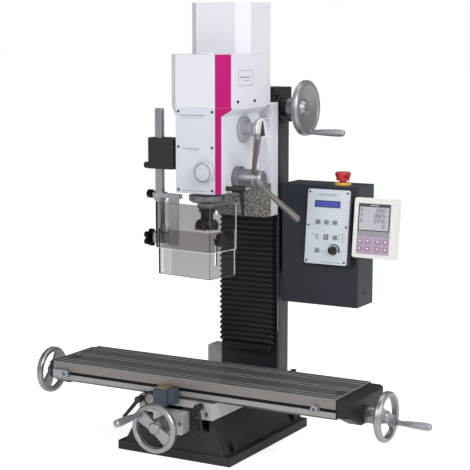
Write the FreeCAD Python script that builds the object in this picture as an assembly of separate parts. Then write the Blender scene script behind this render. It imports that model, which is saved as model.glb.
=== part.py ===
import FreeCAD, Part
import math
import os

# Vertical bench milling machine, in millimetres.
# +X is to the operator's right, +Y is away from the operator, +Z is up.
# The origin is on the floor, in the middle of the four hold-down holes.

V = FreeCAD.Vector
GAP = 0.3            # between faces of two bodies that move past each other
RUNNING = 0.05       # radial, shaft in bearing

# ---------------------------------------------------------------- driving sizes
# base casting
BASE_WIDTH = 281.0
BASE_DEPTH = 364.0
BASE_FLANGE = 20.0
BASE_TOP_Z = 88.0
BASE_TOP_HALF = 90.0
BASE_WALL_HALF = 125.0
BASE_DRAFT = 6.0
BOLT_SPACING_X = 230.0
BOLT_SPACING_Y = 280.0
BOLT_HOLE_R = 6.0
BOLT_SPOT_R = 12.0

# cross ways between base and saddle
Y_WAY_TOP_HALF = 60.0
Y_WAY_FOOT_HALF = 50.0
Y_WAY_HEIGHT = 24.0
Y_SCREW_Z = 83.0
SCREW_R = 8.0
CHANNEL_HALF = 18.0

# saddle
SADDLE_HALF = 92.0
SADDLE_FRONT_Y = -170.0
SADDLE_LENGTH = 188.0
SADDLE_TOP_Z = 127.0
X_WAY_TOP_HALF = 55.0
X_WAY_FOOT_HALF = 45.0
X_WAY_HEIGHT = 18.0
X_SCREW_Z = 126.0

# table
TABLE_LENGTH = 700.0
TABLE_WIDTH = 176.0
TABLE_THICK = 43.7
TABLE_OFFSET = 25.0      # the table's middle stands this far right of the column
TABLE_MID_Y = -76.0
T_SLOT_PITCH = 63.0
T_SLOT_NECK = 12.0
T_SLOT_NECK_DEPTH = 11.0
T_SLOT_FOOT = 20.0
T_SLOT_FOOT_DEPTH = 8.0
SCALE_GROOVE_Z = 20.5    # below the table top
SCALE_GROOVE_HEIGHT = 7.0
SCALE_GROOVE_DEPTH = 4.0
LEFT_BRACKET = 14.0
RIGHT_BRACKET = 30.0

# handwheels
WHEEL_R = 53.0
WHEEL_RIM = 15.0
WHEEL_PIN_RADIUS = 45.0
Z_WHEEL_R = 62.5
Z_WHEEL_PIN_RADIUS = 54.0
GRIP_R = 8.5
GRIP_PIN_R = 4.0
X_GRIP_LENGTH = 76.0
Y_GRIP_LENGTH = 84.0
Z_GRIP_LENGTH = 88.0
X_WHEEL_RIGHT = TABLE_OFFSET + TABLE_LENGTH / 2 + 81.0
X_WHEEL_LEFT = TABLE_OFFSET - TABLE_LENGTH / 2 - 63.0
Y_WHEEL_FRONT = -260.0
Z_WHEEL_FACE_X = 136.0

# column
COLUMN_FRONT_Y = 158.0
COLUMN_BACK_Y = 250.0
COLUMN_HALF = 74.0
COLUMN_BACK_HALF = 54.0
COLUMN_TOP_Z = 700.0
Z_SHAFT_Z = COLUMN_TOP_Z + 35.0
COLUMN_WALL = 11.0
Z_WAY_HALF = 50.0
Z_WAY_FOOT_HALF = 44.0
Z_WAY_DEPTH = 8.0
Z_SLOT_HALF = 24.0
Z_SCREW_Y = 187.0
Z_SCREW_R = 10.0
HOUSING_HALF = 62.0
HOUSING_HEIGHT = 80.0

# carriage and head
CARRIAGE_FRONT_Y = 124.0
CARRIAGE_BOTTOM_Z = 493.0
CARRIAGE_TOP_Z = 748.0
SWIVEL_Y = 100.0
SWIVEL_R = 80.0
TILT_Z = 640.0
HEAD_FRONT_Y = -83.0
HEAD_FRONT_HALF = 49.0
HEAD_HALF = 57.0
HEAD_BOTTOM_Z = 560.0
HEAD_FLARE_Z = 726.0
HEAD_LEDGE_Z = 740.0
HEAD_TOP_Z = 744.0
COVER_HALF = 74.0
COVER_TOP_Z = 857.0
COVER_BACK_Y = 120.0
UPPER_FRONT_Y = 4.0
UPPER_TOP_Z = 968.0
COVER_WALL = 3.0
COVER_CHAMFER = 25.0
PLATE_THICK = 3.0

# spindle line
SPINDLE_Y = -35.0
QUILL_R = 23.0
QUILL_BORE = 19.5
NOSE_RING_R = 39.0
NOSE_RING_Z = 537.0
NOSE_RING_HEIGHT = 16.0
SPINDLE_NOSE_R = 20.5
SPINDLE_NOSE_Z = 525.0
SPINDLE_SHAFT_R = 15.0
ARBOR_R = 13.0
ARBOR_Z = 498.0
MILL_R = 26.0
MILL_HEIGHT = 21.0
MOTOR_Y = 50.0
MOTOR_R = 41.0
GEAR_MODULE = 2.0
SPINDLE_TEETH = 40
MOTOR_TEETH = 45
FEED_MODULE = 1.5
FEED_TEETH = 12

# hand controls of the head
FEED_Z = 590.0
FEED_END_X = 127.0
LEVER_REACH = 138.0
LEVER_LEAN = 62.0
LEVER_ANGLES = (132.0, -45.0)
SELECTOR_Y = 25.0
SELECTOR_Z = 695.0
LOCK_Y = -47.0
LOCK_Z = 571.0
DIAL_X = 26.0
DIAL_Z = 608.0
DIAL_R = 22.5

# chip guard
POST_X = -100.0
POST_Y = -67.0
POST_R = 10.25
POST_BOTTOM_Z = 445.0
POST_TOP_Z = 740.0
GUARD_LEFT_X = -67.0
GUARD_RIGHT_X = 84.0
GUARD_FRONT_Y = -119.0
GUARD_RIGHT_BACK_Y = -31.0
GUARD_TURN = -8.9        # the guard stands swung a little open
GUARD_TOP_Z = 543.0
GUARD_BOTTOM_Z = 444.0
LOWER_TOP_Z = 485.0
LOWER_BOTTOM_Z = 387.0
SHEET = 3.0

# electrical boxes
BOX_LEFT_X = 80.0
BOX_RIGHT_X = 272.0
BOX_FRONT_Y = 163.0
BOX_BACK_Y = 250.0
BOX_BOTTOM_Z = 293.0
BOX_TOP_Z = 565.0
BOX_WALL = 2.5
PANEL_MID_X = 203.5
PANEL_WIDTH = 104.0
PANEL_HEIGHT = 167.0
PANEL_BOTTOM_Z = 391.0
PANEL_FOOT_Y = 138.0
PANEL_TILT = 6.5
PANEL_THICK = 2.5
ESTOP_X = 219.0
ESTOP_Y = 195.0
ESTOP_R = 18.0
READOUT_WIDTH = 97.0
READOUT_MID_X = BOX_RIGHT_X + 1.0 + READOUT_WIDTH / 2
READOUT_HEIGHT = 132.0
READOUT_DEPTH = 34.0
READOUT_BOTTOM_Z = 415.0
READOUT_FOOT_Y = 126.0
READOUT_TILT = 7.0

# bellows in front of the column ways
BELLOWS_HALF = 61.0
BELLOWS_FRONT_Y = 139.0
BELLOWS_BACK_Y = 149.0
BELLOWS_BOTTOM_Z = 190.0
CLAMP_HEIGHT = 14.0


# ---------------------------------------------------------------- shape helpers
def box(x0, x1, y0, y1, z0, z1):
    return Part.makeBox(x1 - x0, y1 - y0, z1 - z0, V(x0, y0, z0))


def rod_x(radius, x0, x1, y, z):
    return Part.makeCylinder(radius, x1 - x0, V(x0, y, z), V(1, 0, 0))


def rod_y(radius, y0, y1, x, z):
    return Part.makeCylinder(radius, y1 - y0, V(x, y0, z), V(0, 1, 0))


def rod_z(radius, z0, z1, x, y):
    return Part.makeCylinder(radius, z1 - z0, V(x, y, z0), V(0, 0, 1))


def face_of(points):
    return Part.Face(Part.makePolygon(points + points[:1]))


def slab_x(outline, x0, x1):
    """A (y, z) outline carried along X."""
    return face_of([V(x0, y, z) for y, z in outline]).extrude(V(x1 - x0, 0, 0))


def slab_y(outline, y0, y1):
    """An (x, z) outline carried along Y."""
    return face_of([V(x, y0, z) for x, z in outline]).extrude(V(0, y1 - y0, 0))


def slab_z(outline, z0, z1):
    """An (x, y) outline carried along Z."""
    return face_of([V(x, y, z0) for x, y in outline]).extrude(V(0, 0, z1 - z0))


def turned(profile):
    """A (radius, height) profile turned about the Z axis through the origin."""
    face = face_of([V(radius, 0, height) for radius, height in profile])
    return face.revolve(V(0, 0, 0), V(0, 0, 1), 360)


def placed(shape, origin, x_dir, z_dir):
    """Moves a shape so that its own X and Z axes point along x_dir and z_dir."""
    z_axis = V(*z_dir)
    x_axis = V(*x_dir)
    y_axis = z_axis.cross(x_axis)
    turn = FreeCAD.Rotation(x_axis, y_axis, z_axis, "ZXY")
    moved = shape.copy()
    moved.Placement = FreeCAD.Placement(V(*origin), turn).multiply(shape.Placement)
    return moved


def along_x(shape, x, y, z):
    return placed(shape, (x, y, z), (0, 1, 0), (1, 0, 0))


def along_y(shape, x, y, z):
    return placed(shape, (x, y, z), (1, 0, 0), (0, -1, 0))


def joined(*shapes):
    return shapes[0].fuse(list(shapes[1:])).removeSplitter()


def group(*shapes):
    """Separate solids that share one node."""
    return Part.makeCompound(list(shapes))


def loft(lower, z0, upper, z1):
    wires = []
    for outline, z in ((lower, z0), (upper, z1)):
        points = [V(x, y, z) for x, y in outline]
        wires.append(Part.makePolygon(points + points[:1]))
    return Part.makeLoft(wires, True, True)


def rectangle(x0, x1, y0, y1):
    return [(x0, y0), (x1, y0), (x1, y1), (x0, y1)]


def gear(module, teeth, height, bore, first_gap):
    """A spur gear with straight-sided teeth; first_gap turns it half a tooth."""
    pitch_r = module * teeth / 2
    step = 2 * math.pi / teeth
    outline = []
    for index in range(teeth):
        middle = (index + (0.5 if first_gap else 0.0)) * step
        for radius, share in (
            (pitch_r - 1.25 * module, -0.29),
            (pitch_r + 0.9 * module, -0.12),
            (pitch_r + 0.9 * module, 0.12),
            (pitch_r - 1.25 * module, 0.29),
        ):
            angle = middle + share * step
            outline.append((radius * math.cos(angle), radius * math.sin(angle)))
    return slab_z(outline, 0, height).cut(Part.makeCylinder(bore, height))


def socket_screw(head_r, head_height, shank_r, shank_length):
    """Head above Z 0, shank below, hexagon socket in the head."""
    hexagon = [
        (0.55 * head_r * math.cos(math.radians(60 * k)), 0.55 * head_r * math.sin(math.radians(60 * k)))
        for k in range(6)
    ]
    head = Part.makeCylinder(head_r, head_height)
    shank = Part.makeCylinder(shank_r, shank_length, V(0, 0, -shank_length))
    return joined(head, shank).cut(slab_z(hexagon, 0.4 * head_height, head_height + 1))


def tube(points, radius):
    """A round lead along straight runs, joined by tangent arcs as large as the runs allow."""
    corners = [V(*p) for p in points]
    edges = []
    start = corners[0]
    for before, corner, after in zip(corners, corners[1:], corners[2:]):
        run_in = corner - before
        run_out = after - corner
        shorter = min(run_in.Length, run_out.Length)
        turn = run_in.getAngle(run_out)
        back = 0.45 * shorter
        bend_r = back / math.tan(turn / 2)
        print("lead bend radius", round(bend_r, 1))
        inward = V(run_in).normalize()
        outward = V(run_out).normalize()
        enter = corner - inward * back
        leave = corner + outward * back
        bisector = (outward - inward).normalize()
        middle = corner + bisector * (bend_r / math.cos(turn / 2) - bend_r)
        edges.append(Part.LineSegment(start, enter).toShape())
        edges.append(Part.Arc(enter, middle, leave).toShape())
        start = leave
    edges.append(Part.LineSegment(start, corners[-1]).toShape())
    path = Part.Wire(edges)
    first = (corners[1] - corners[0]).normalize()
    ring = Part.Wire(Part.makeCircle(radius, corners[0], first))
    return path.makePipeShell([ring], True, False)


def save(name, shape):
    shape.exportStep("parts/" + name + ".step")
    solids = shape.Solids
    print(name, len(solids), round(sum(solid.Volume for solid in solids) / 1000, 1), "cm3", shape.isValid())


# ---------------------------------------------------------------- base
Y_WAY_TOP_Z = BASE_TOP_Z + Y_WAY_HEIGHT
BASE_FRONT_Y = -BASE_DEPTH / 2
BRACKET_BACK_Y = BASE_FRONT_Y + 10.0
BRACKET_FRONT_Y = BRACKET_BACK_Y - 28.0
Y_WAY_END = COLUMN_FRONT_Y - 10.0
PAD_BACK_Y = COLUMN_BACK_Y + 6.0
FOOT_HALF = COLUMN_HALF + 6.0
BRACKET_HALF = 37.0
HOLLOW_TOP_Z = 46.0
LEVER_GROOVE_IN = 7.0    # room in the base's top for the hanging clamp lever
LEVER_GROOVE_END_Y = SADDLE_FRONT_Y + 148.0
BRACKET_BOTTOM_Z = Y_SCREW_Z - 24.0
BRACKET_TOP_Z = Y_SCREW_Z + 23.0


def make_base():
    half = BASE_WIDTH / 2
    wall_front = BASE_FRONT_Y + 4
    wall_back = BASE_DEPTH / 2
    flange = box(-half, half, BASE_FRONT_Y, BASE_DEPTH / 2, 0, BASE_FLANGE)
    body = loft(
        rectangle(-BASE_WALL_HALF, BASE_WALL_HALF, wall_front, wall_back), BASE_FLANGE,
        rectangle(-BASE_TOP_HALF, BASE_TOP_HALF, wall_front + BASE_DRAFT, wall_back), BASE_TOP_Z,
    )
    pad = box(-FOOT_HALF - 2, FOOT_HALF + 2, COLUMN_FRONT_Y - 6, PAD_BACK_Y, 0, BASE_TOP_Z)
    way = slab_y([
        (-Y_WAY_FOOT_HALF, BASE_TOP_Z), (Y_WAY_FOOT_HALF, BASE_TOP_Z),
        (Y_WAY_TOP_HALF, Y_WAY_TOP_Z), (-Y_WAY_TOP_HALF, Y_WAY_TOP_Z),
    ], BRACKET_BACK_Y, Y_WAY_END)
    solid = joined(flange, body, pad, way)
    hollow = box(-BASE_TOP_HALF, BASE_TOP_HALF, BASE_FRONT_Y + 26, BASE_DEPTH / 2 - 22, -1, HOLLOW_TOP_Z)
    channel = box(-CHANNEL_HALF, CHANNEL_HALF, BASE_FRONT_Y - 1, Y_WAY_END - 8, Y_SCREW_Z - 20, Y_WAY_TOP_Z + 1)
    seat = box(
        -BRACKET_HALF - GAP, BRACKET_HALF + GAP, BASE_FRONT_Y - 1, BRACKET_BACK_Y,
        BRACKET_BOTTOM_Z - GAP, BASE_TOP_Z + 1,
    )
    groove = box(
        RIGHT_LOCK[0] - LEVER_GROOVE_IN, RIGHT_LOCK[0] + RIGHT_LEVER[0] + LEVER_GROOVE_IN,
        BASE_FRONT_Y - 1, LEVER_GROOVE_END_Y, RIGHT_LOCK[1] + RIGHT_LEVER[1] - 6, BASE_TOP_Z + 1,
    )
    solid = solid.cut(hollow).cut(channel).cut(seat).cut(groove)
    for x in (-BOLT_SPACING_X / 2, BOLT_SPACING_X / 2):
        for y in (-BOLT_SPACING_Y / 2, BOLT_SPACING_Y / 2):
            solid = solid.cut(rod_z(BOLT_HOLE_R, -1, BASE_FLANGE + 1, x, y))
            solid = solid.cut(rod_z(BOLT_SPOT_R, BASE_FLANGE, BASE_TOP_Z + 1, x, y))
    for x, y in column_bolt_places():
        solid = solid.cut(rod_z(COLUMN_BOLT_R + RUNNING, BASE_TOP_Z - COLUMN_BOLT_DEPTH, BASE_TOP_Z + 1, x, y))
    return solid


# ---------------------------------------------------------------- column
COLUMN_BOLT_R = 5.0
COLUMN_BOLT_HEAD_R = 7.0
COLUMN_BOLT_DEPTH = 20.0
FOOT_THICK = 16.0
FOOT_FRONT_Y = 196.0
Z_WAY_FRONT_Y = COLUMN_FRONT_Y - Z_WAY_DEPTH
HOUSING_FRONT_Y = COLUMN_FRONT_Y + 4.0
HOUSING_BACK_Y = COLUMN_BACK_Y
HOUSING_TOP_Z = COLUMN_TOP_Z + HOUSING_HEIGHT
HOUSING_FLOOR = 10.0
HOUSING_WALL = 10.0


def column_bolt_places():
    """Two screws each side of the foot, clear of the tapering column wall."""
    x = FOOT_HALF - COLUMN_BOLT_HEAD_R - 1.0
    return [(side * x, y) for side in (-1, 1) for y in (COLUMN_BACK_Y - 24.0, COLUMN_BACK_Y - 5.0)]


def column_half_at(y):
    """Half width of the column's outer wall at depth y."""
    taper_start = COLUMN_FRONT_Y + 14.0
    share = max(0.0, (y - taper_start) / (COLUMN_BACK_Y - taper_start))
    return COLUMN_HALF + share * (COLUMN_BACK_HALF - COLUMN_HALF)


def column_outline(inset):
    taper_start = COLUMN_FRONT_Y + 14.0
    return [
        (-COLUMN_HALF + inset, COLUMN_FRONT_Y + inset), (COLUMN_HALF - inset, COLUMN_FRONT_Y + inset),
        (COLUMN_HALF - inset, max(taper_start, COLUMN_FRONT_Y + inset + 1)),
        (COLUMN_BACK_HALF - inset, COLUMN_BACK_Y - inset),
        (-COLUMN_BACK_HALF + inset, COLUMN_BACK_Y - inset),
        (-COLUMN_HALF + inset, max(taper_start, COLUMN_FRONT_Y + inset + 1)),
    ]


def make_column():
    outer = slab_z(column_outline(0), BASE_TOP_Z, COLUMN_TOP_Z)
    foot = box(-FOOT_HALF, FOOT_HALF, FOOT_FRONT_Y, COLUMN_BACK_Y + 4, BASE_TOP_Z, BASE_TOP_Z + FOOT_THICK)
    way = slab_z([
        (-Z_WAY_HALF, Z_WAY_FRONT_Y), (Z_WAY_HALF, Z_WAY_FRONT_Y),
        (Z_WAY_FOOT_HALF, COLUMN_FRONT_Y), (-Z_WAY_FOOT_HALF, COLUMN_FRONT_Y),
    ], BELLOWS_BOTTOM_Z, COLUMN_TOP_Z)
    solid = joined(outer, foot, way)
    solid = solid.cut(slab_z(column_outline(COLUMN_WALL), BASE_TOP_Z - 1, COLUMN_TOP_Z + 1))
    solid = solid.cut(box(
        -Z_SLOT_HALF, Z_SLOT_HALF, Z_WAY_FRONT_Y - 1, COLUMN_FRONT_Y + COLUMN_WALL + 1,
        BELLOWS_BOTTOM_Z + 60, COLUMN_TOP_Z + 1,
    ))
    for x, y in column_bolt_places():
        solid = solid.cut(rod_z(COLUMN_BOLT_R + RUNNING, BASE_TOP_Z - 1, BASE_TOP_Z + FOOT_THICK + 1, x, y))
        solid = solid.cut(rod_z(
            COLUMN_BOLT_HEAD_R + 1, BASE_TOP_Z + FOOT_THICK, BASE_TOP_Z + FOOT_THICK + 14, x, y,
        ))
    return solid


def make_column_bolts():
    screw = socket_screw(COLUMN_BOLT_HEAD_R, 9, COLUMN_BOLT_R, FOOT_THICK + COLUMN_BOLT_DEPTH - 2)
    top = BASE_TOP_Z + FOOT_THICK
    return group(*[placed(screw, (x, y, top), (1, 0, 0), (0, 0, 1)) for x, y in column_bolt_places()])


CRANK_FLANGE_R = 28.0
CRANK_FLANGE_END_X = 88.0
CRANK_SHAFT_R = 10.0


def make_top_housing():
    """Bevel-gear housing on the column, with the crank's bearing flange on its right."""
    outer = box(-HOUSING_HALF, HOUSING_HALF, HOUSING_FRONT_Y, HOUSING_BACK_Y, COLUMN_TOP_Z, HOUSING_TOP_Z)
    outer = outer.makeFillet(5, [e for e in outer.Edges if abs(e.BoundBox.ZLength - HOUSING_HEIGHT) < 0.1])
    lip = box(
        -HOUSING_HALF - 4, HOUSING_HALF + 4, HOUSING_FRONT_Y, HOUSING_BACK_Y, COLUMN_TOP_Z, COLUMN_TOP_Z + 6,
    )
    cavity = box(
        -HOUSING_HALF + HOUSING_WALL, HOUSING_HALF - HOUSING_WALL, HOUSING_FRONT_Y + 6,
        HOUSING_BACK_Y - HOUSING_WALL,
        COLUMN_TOP_Z + HOUSING_FLOOR, HOUSING_TOP_Z - 8,
    )
    screw_bore = rod_z(Z_SCREW_R + RUNNING, COLUMN_TOP_Z - 1, COLUMN_TOP_Z + 20, 0, Z_SCREW_Y)
    shaft_bore = rod_x(CRANK_SHAFT_R + RUNNING, 0, 200, Z_SCREW_Y, Z_SHAFT_Z)
    oiler = joined(
        rod_z(5, HOUSING_TOP_Z, HOUSING_TOP_Z + 5, -HOUSING_HALF + 20, HOUSING_FRONT_Y + 14),
        rod_z(3, HOUSING_TOP_Z, HOUSING_TOP_Z + 10, -HOUSING_HALF + 20, HOUSING_FRONT_Y + 14),
    )
    shell = joined(outer, lip).cut(cavity).cut(screw_bore).cut(shaft_bore)
    flange = joined(
        rod_x(CRANK_FLANGE_R, HOUSING_HALF, HOUSING_HALF + 10, Z_SCREW_Y, Z_SHAFT_Z),
        rod_x(CRANK_FLANGE_R - 8, HOUSING_HALF + 10, CRANK_FLANGE_END_X, Z_SCREW_Y, Z_SHAFT_Z),
    ).cut(shaft_bore)
    flange = flange.cut(box(HOUSING_HALF, HOUSING_HALF + 4, 0, 300, COLUMN_TOP_Z, COLUMN_TOP_Z + 6))
    return group(shell, flange, oiler)


# ---------------------------------------------------------------- handwheels
def make_grip(length):
    """A tapered handle that turns on its pin, bored from its foot."""
    profile = [
        (GRIP_PIN_R + RUNNING, 0), (GRIP_R - 2.5, 0), (GRIP_R - 2, 4), (GRIP_R - 3, 8),
        (GRIP_R - 1.0, 0.45 * length), (GRIP_R, 0.8 * length), (GRIP_R - 0.8, length - 5),
        (GRIP_R - 3.5, length - 1.2), (0, length), (0, length - 8), (GRIP_PIN_R + RUNNING, length - 8),
    ]
    return turned(profile)


def make_grip_pin(length, foot):
    return Part.makeCylinder(GRIP_PIN_R, length - 12 + foot, V(0, 0, -foot))


def make_spoked_wheel(with_pin, grip_length, bore):
    """Rim, hub and one bar across; the front rim plane is Z 0 and the bar lies along X."""
    rim = turned([
        (WHEEL_R - 11, -WHEEL_RIM + 2), (WHEEL_R - 9, -WHEEL_RIM), (WHEEL_R - 3, -WHEEL_RIM),
        (WHEEL_R, -WHEEL_RIM + 3.5), (WHEEL_R, -3.5), (WHEEL_R - 3, 0),
        (WHEEL_R - 9, 0), (WHEEL_R - 11, -2),
    ])
    hub = turned([
        (0, -WHEEL_RIM - 4), (14, -WHEEL_RIM - 4), (15, -WHEEL_RIM + 2), (12, -3), (10, -1), (0, -1),
    ])
    bar_half = WHEEL_R - 8
    bar = slab_z([
        (-bar_half, -15), (-14, -11), (14, -11), (bar_half, -15),
        (bar_half, 15), (14, 11), (-14, 11), (-bar_half, 15),
    ], -WHEEL_RIM + 3, -5)
    wheel = joined(rim, hub, bar).cut(Part.makeCylinder(bore + RUNNING, 60, V(0, 0, -60 - 3.2)))
    if with_pin:
        boss = Part.makeCylinder(GRIP_R - 1, WHEEL_RIM - 4, V(WHEEL_PIN_RADIUS, 0, -WHEEL_RIM + 3))
        pin = make_grip_pin(grip_length, 4)
        pin.translate(V(WHEEL_PIN_RADIUS, 0, 0))
        wheel = joined(wheel, boss, pin)
    return wheel


def make_dish_wheel(bore):
    """Solid polished wheel, hollowed towards its hub; the front rim plane is Z 0."""
    radius = Z_WHEEL_R
    dish = turned([
        (0, -26), (17, -26), (17, -18), (radius - 14, -15), (radius - 4, -15), (radius, -11),
        (radius, -4), (radius - 4, 0), (radius - 11, 0), (radius - 14, -3), (20, -12), (15, -4), (0, -4),
    ])
    pin = make_grip_pin(Z_GRIP_LENGTH, 6)
    pin.translate(V(Z_WHEEL_PIN_RADIUS, 0, 0))
    hub_screw = socket_screw(6, 4, 3, 3)
    hub_screw.translate(V(0, 0, -4))
    dish = dish.cut(Part.makeCylinder(bore + RUNNING, 60, V(0, 0, -60 - 8)))
    return joined(dish, pin, hub_screw)


def unit(x, y, z):
    length = math.sqrt(x * x + y * y + z * z)
    return (x / length, y / length, z / length)


# the way from each hub to its grip, square to the wheel's axis
X_GRIP_WAY = unit(0, 42, -22)
Y_GRIP_WAY = unit(-38.6, 0, 27)
Z_GRIP_WAY = unit(0, 3, -54)


def grip_place(centre, way, radius):
    return tuple(c + radius * w for c, w in zip(centre, way))


# ---------------------------------------------------------------- Z drive
MITRE_R = 18.0
MITRE_FACE = 9.0
Z_SCREW_BOTTOM = BASE_TOP_Z + 72.0


def make_z_wheel():
    return placed(
        make_dish_wheel(CRANK_SHAFT_R), (Z_WHEEL_FACE_X, Z_SCREW_Y, Z_SHAFT_Z), Z_GRIP_WAY, (1, 0, 0),
    )


def make_z_shaft():
    """Crank shaft with its mitre gear and graduated collar."""
    mitre = turned([
        (0, MITRE_R - MITRE_FACE), (MITRE_R - MITRE_FACE - GAP, MITRE_R - MITRE_FACE),
        (MITRE_R - GAP, MITRE_R), (MITRE_R - 4, MITRE_R + 6), (0, MITRE_R + 6),
    ])
    shaft = Part.makeCylinder(CRANK_SHAFT_R, Z_WHEEL_FACE_X - 8 - MITRE_R, V(0, 0, MITRE_R))
    collar = Part.makeCylinder(
        22, Z_WHEEL_FACE_X - 27 - CRANK_FLANGE_END_X - GAP, V(0, 0, CRANK_FLANGE_END_X + GAP),
    )
    return along_x(joined(mitre, shaft, collar), 0, Z_SCREW_Y, Z_SHAFT_Z)


def make_z_screw():
    mitre = turned([
        (0, -MITRE_R), (MITRE_R - GAP, -MITRE_R), (MITRE_R - MITRE_FACE - GAP, -MITRE_R + MITRE_FACE),
        (0, -MITRE_R + MITRE_FACE),
    ])
    mitre.translate(V(0, Z_SCREW_Y, Z_SHAFT_Z))
    return joined(rod_z(Z_SCREW_R, Z_SCREW_BOTTOM, Z_SHAFT_Z - MITRE_R, 0, Z_SCREW_Y), mitre)


def make_z_nut():
    """Nut on an arm that reaches through the column's slot from the carriage."""
    back = CARRIAGE_BACK_Y
    arm = box(-Z_SLOT_HALF + 3, Z_SLOT_HALF - 3, back, Z_SCREW_Y + 16, TILT_Z - 60, TILT_Z - 20)
    return arm.cut(rod_z(Z_SCREW_R + RUNNING, TILT_Z - 61, TILT_Z - 19, 0, Z_SCREW_Y))


# ---------------------------------------------------------------- carriage
CARRIAGE_BACK_Y = COLUMN_FRONT_Y - 0.4
DISC_SEAT = 6.0          # how far the swivel disc's foot sinks into the lower block


def make_carriage():
    plate = box(
        -COLUMN_HALF, COLUMN_HALF, CARRIAGE_FRONT_Y, CARRIAGE_BACK_Y, CARRIAGE_BOTTOM_Z, CARRIAGE_TOP_Z,
    )
    lower = box(
        -COLUMN_HALF, COLUMN_HALF, SWIVEL_Y + GAP, CARRIAGE_FRONT_Y, CARRIAGE_BOTTOM_Z,
        TILT_Z - SWIVEL_R + DISC_SEAT,
    )
    disc = rod_y(SWIVEL_R, SWIVEL_Y + GAP, CARRIAGE_FRONT_Y, 0, TILT_Z)
    slot = slab_z([
        (-Z_WAY_HALF - 0.4, Z_WAY_FRONT_Y - GAP), (Z_WAY_HALF + 0.4, Z_WAY_FRONT_Y - GAP),
        (Z_WAY_FOOT_HALF + 0.4, CARRIAGE_BACK_Y + 1), (-Z_WAY_FOOT_HALF - 0.4, CARRIAGE_BACK_Y + 1),
    ], CARRIAGE_BOTTOM_Z - 1, CARRIAGE_TOP_Z + 1)
    nut_seat = box(
        -Z_SLOT_HALF + 3, Z_SLOT_HALF - 3, Z_WAY_FRONT_Y - GAP, CARRIAGE_BACK_Y, TILT_Z - 60, TILT_Z - 20,
    )
    return joined(joined(plate, lower, disc).cut(slot), nut_seat)


def make_tilt_scale():
    """Angle pointer bracket on the swivel's upper right."""
    x = HEAD_HALF + 2
    z = TILT_Z + SWIVEL_R - 8
    foot = box(x, COLUMN_HALF, CARRIAGE_FRONT_Y - 3, CARRIAGE_FRONT_Y, z - 12, z + 12)
    arm = box(x, x + 12, SWIVEL_Y + 1, CARRIAGE_FRONT_Y - 3, z, z + 3)
    return joined(foot, arm).cut(rod_y(SWIVEL_R, 0, 300, 0, TILT_Z))


# ---------------------------------------------------------------- head castings and covers
def head_outline(front_y, half, chamfer_x, chamfer_y, back_y):
    front_half = half - chamfer_x
    return [
        (-front_half, front_y), (front_half, front_y), (half, front_y + chamfer_y), (half, back_y),
        (-half, back_y), (-half, front_y + chamfer_y),
    ]


CASTING_FRONT_Y = HEAD_FRONT_Y + PLATE_THICK
CASTING_BACK_Y = SWIVEL_Y
QUILL_TOP_Z = 690.0
FEED_GEAR_R = FEED_MODULE * FEED_TEETH / 2
FEED_Y = SPINDLE_Y + QUILL_R + FEED_GEAR_R
FEED_GEAR_HALF = 7.0
FEED_SHAFT_R = 9.0
FEED_CORE_R = 5.0
FEED_STEP_X = 32.0       # where the feed shaft grows from its core to its full size
FEED_CORE_X = -24.0
SELECTOR_SHAFT_R = 7.0
SELECTOR_FLANGE_R = 29.5
DIAL_SHAFT_R = 5.0


def make_head_casting():
    lower = head_outline(CASTING_FRONT_Y, HEAD_HALF, HEAD_HALF - HEAD_FRONT_HALF, 10, CASTING_BACK_Y)
    upper = head_outline(
        CASTING_FRONT_Y, COVER_HALF, COVER_HALF - HEAD_FRONT_HALF, COVER_CHAMFER, CASTING_BACK_Y,
    )
    solid = joined(
        slab_z(lower, HEAD_BOTTOM_Z, HEAD_FLARE_Z),
        loft(lower, HEAD_FLARE_Z, upper, HEAD_LEDGE_Z),
        slab_z(upper, HEAD_LEDGE_Z, HEAD_TOP_Z),
    )
    cavity = box(-HEAD_HALF + 12, HEAD_HALF - 12, 30, CASTING_BACK_Y - 14, HEAD_BOTTOM_Z + 14, HEAD_TOP_Z + 1)
    quill_bore = rod_z(QUILL_R + RUNNING, HEAD_BOTTOM_Z - 1, QUILL_TOP_Z + 4, 0, SPINDLE_Y)
    shaft_bore = rod_z(SPINDLE_SHAFT_R + 1, QUILL_TOP_Z, HEAD_TOP_Z + 1, 0, SPINDLE_Y)
    gear_pocket = rod_x(FEED_GEAR_R + 3, -FEED_GEAR_HALF - 2, FEED_GEAR_HALF + 2, FEED_Y, FEED_Z)
    core_bore = rod_x(FEED_CORE_R + RUNNING, FEED_CORE_X - 1, FEED_STEP_X, FEED_Y, FEED_Z)
    feed_bore = rod_x(FEED_SHAFT_R + RUNNING, FEED_STEP_X - 1, HEAD_HALF + 1, FEED_Y, FEED_Z)
    flange_pocket = rod_x(SELECTOR_FLANGE_R + 1, HEAD_HALF, COVER_HALF + 1, SELECTOR_Y, SELECTOR_Z)
    selector_bore = rod_x(SELECTOR_SHAFT_R + RUNNING, HEAD_HALF - 24, COVER_HALF + 1, SELECTOR_Y, SELECTOR_Z)
    lock_bore = rod_x(LOCK_SHAFT_R + RUNNING, LOCK_INNER_X, HEAD_HALF + 1, LOCK_Y, LOCK_Z)
    dial_bore = rod_y(DIAL_SHAFT_R + RUNNING, CASTING_FRONT_Y - 1, CASTING_FRONT_Y + 8, DIAL_X, DIAL_Z)
    bores = (quill_bore, shaft_bore, core_bore, feed_bore, selector_bore, lock_bore, dial_bore)
    for cut in (cavity, gear_pocket, flange_pocket) + bores:
        solid = solid.cut(cut)
    return solid


PLATE_SCREW_X = HEAD_FRONT_HALF - 7.0
PLATE_SCREW_ZS = (HEAD_BOTTOM_Z + 8.0, (HEAD_BOTTOM_Z + HEAD_TOP_Z) / 2 + 8, HEAD_TOP_Z - 8.0)


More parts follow.
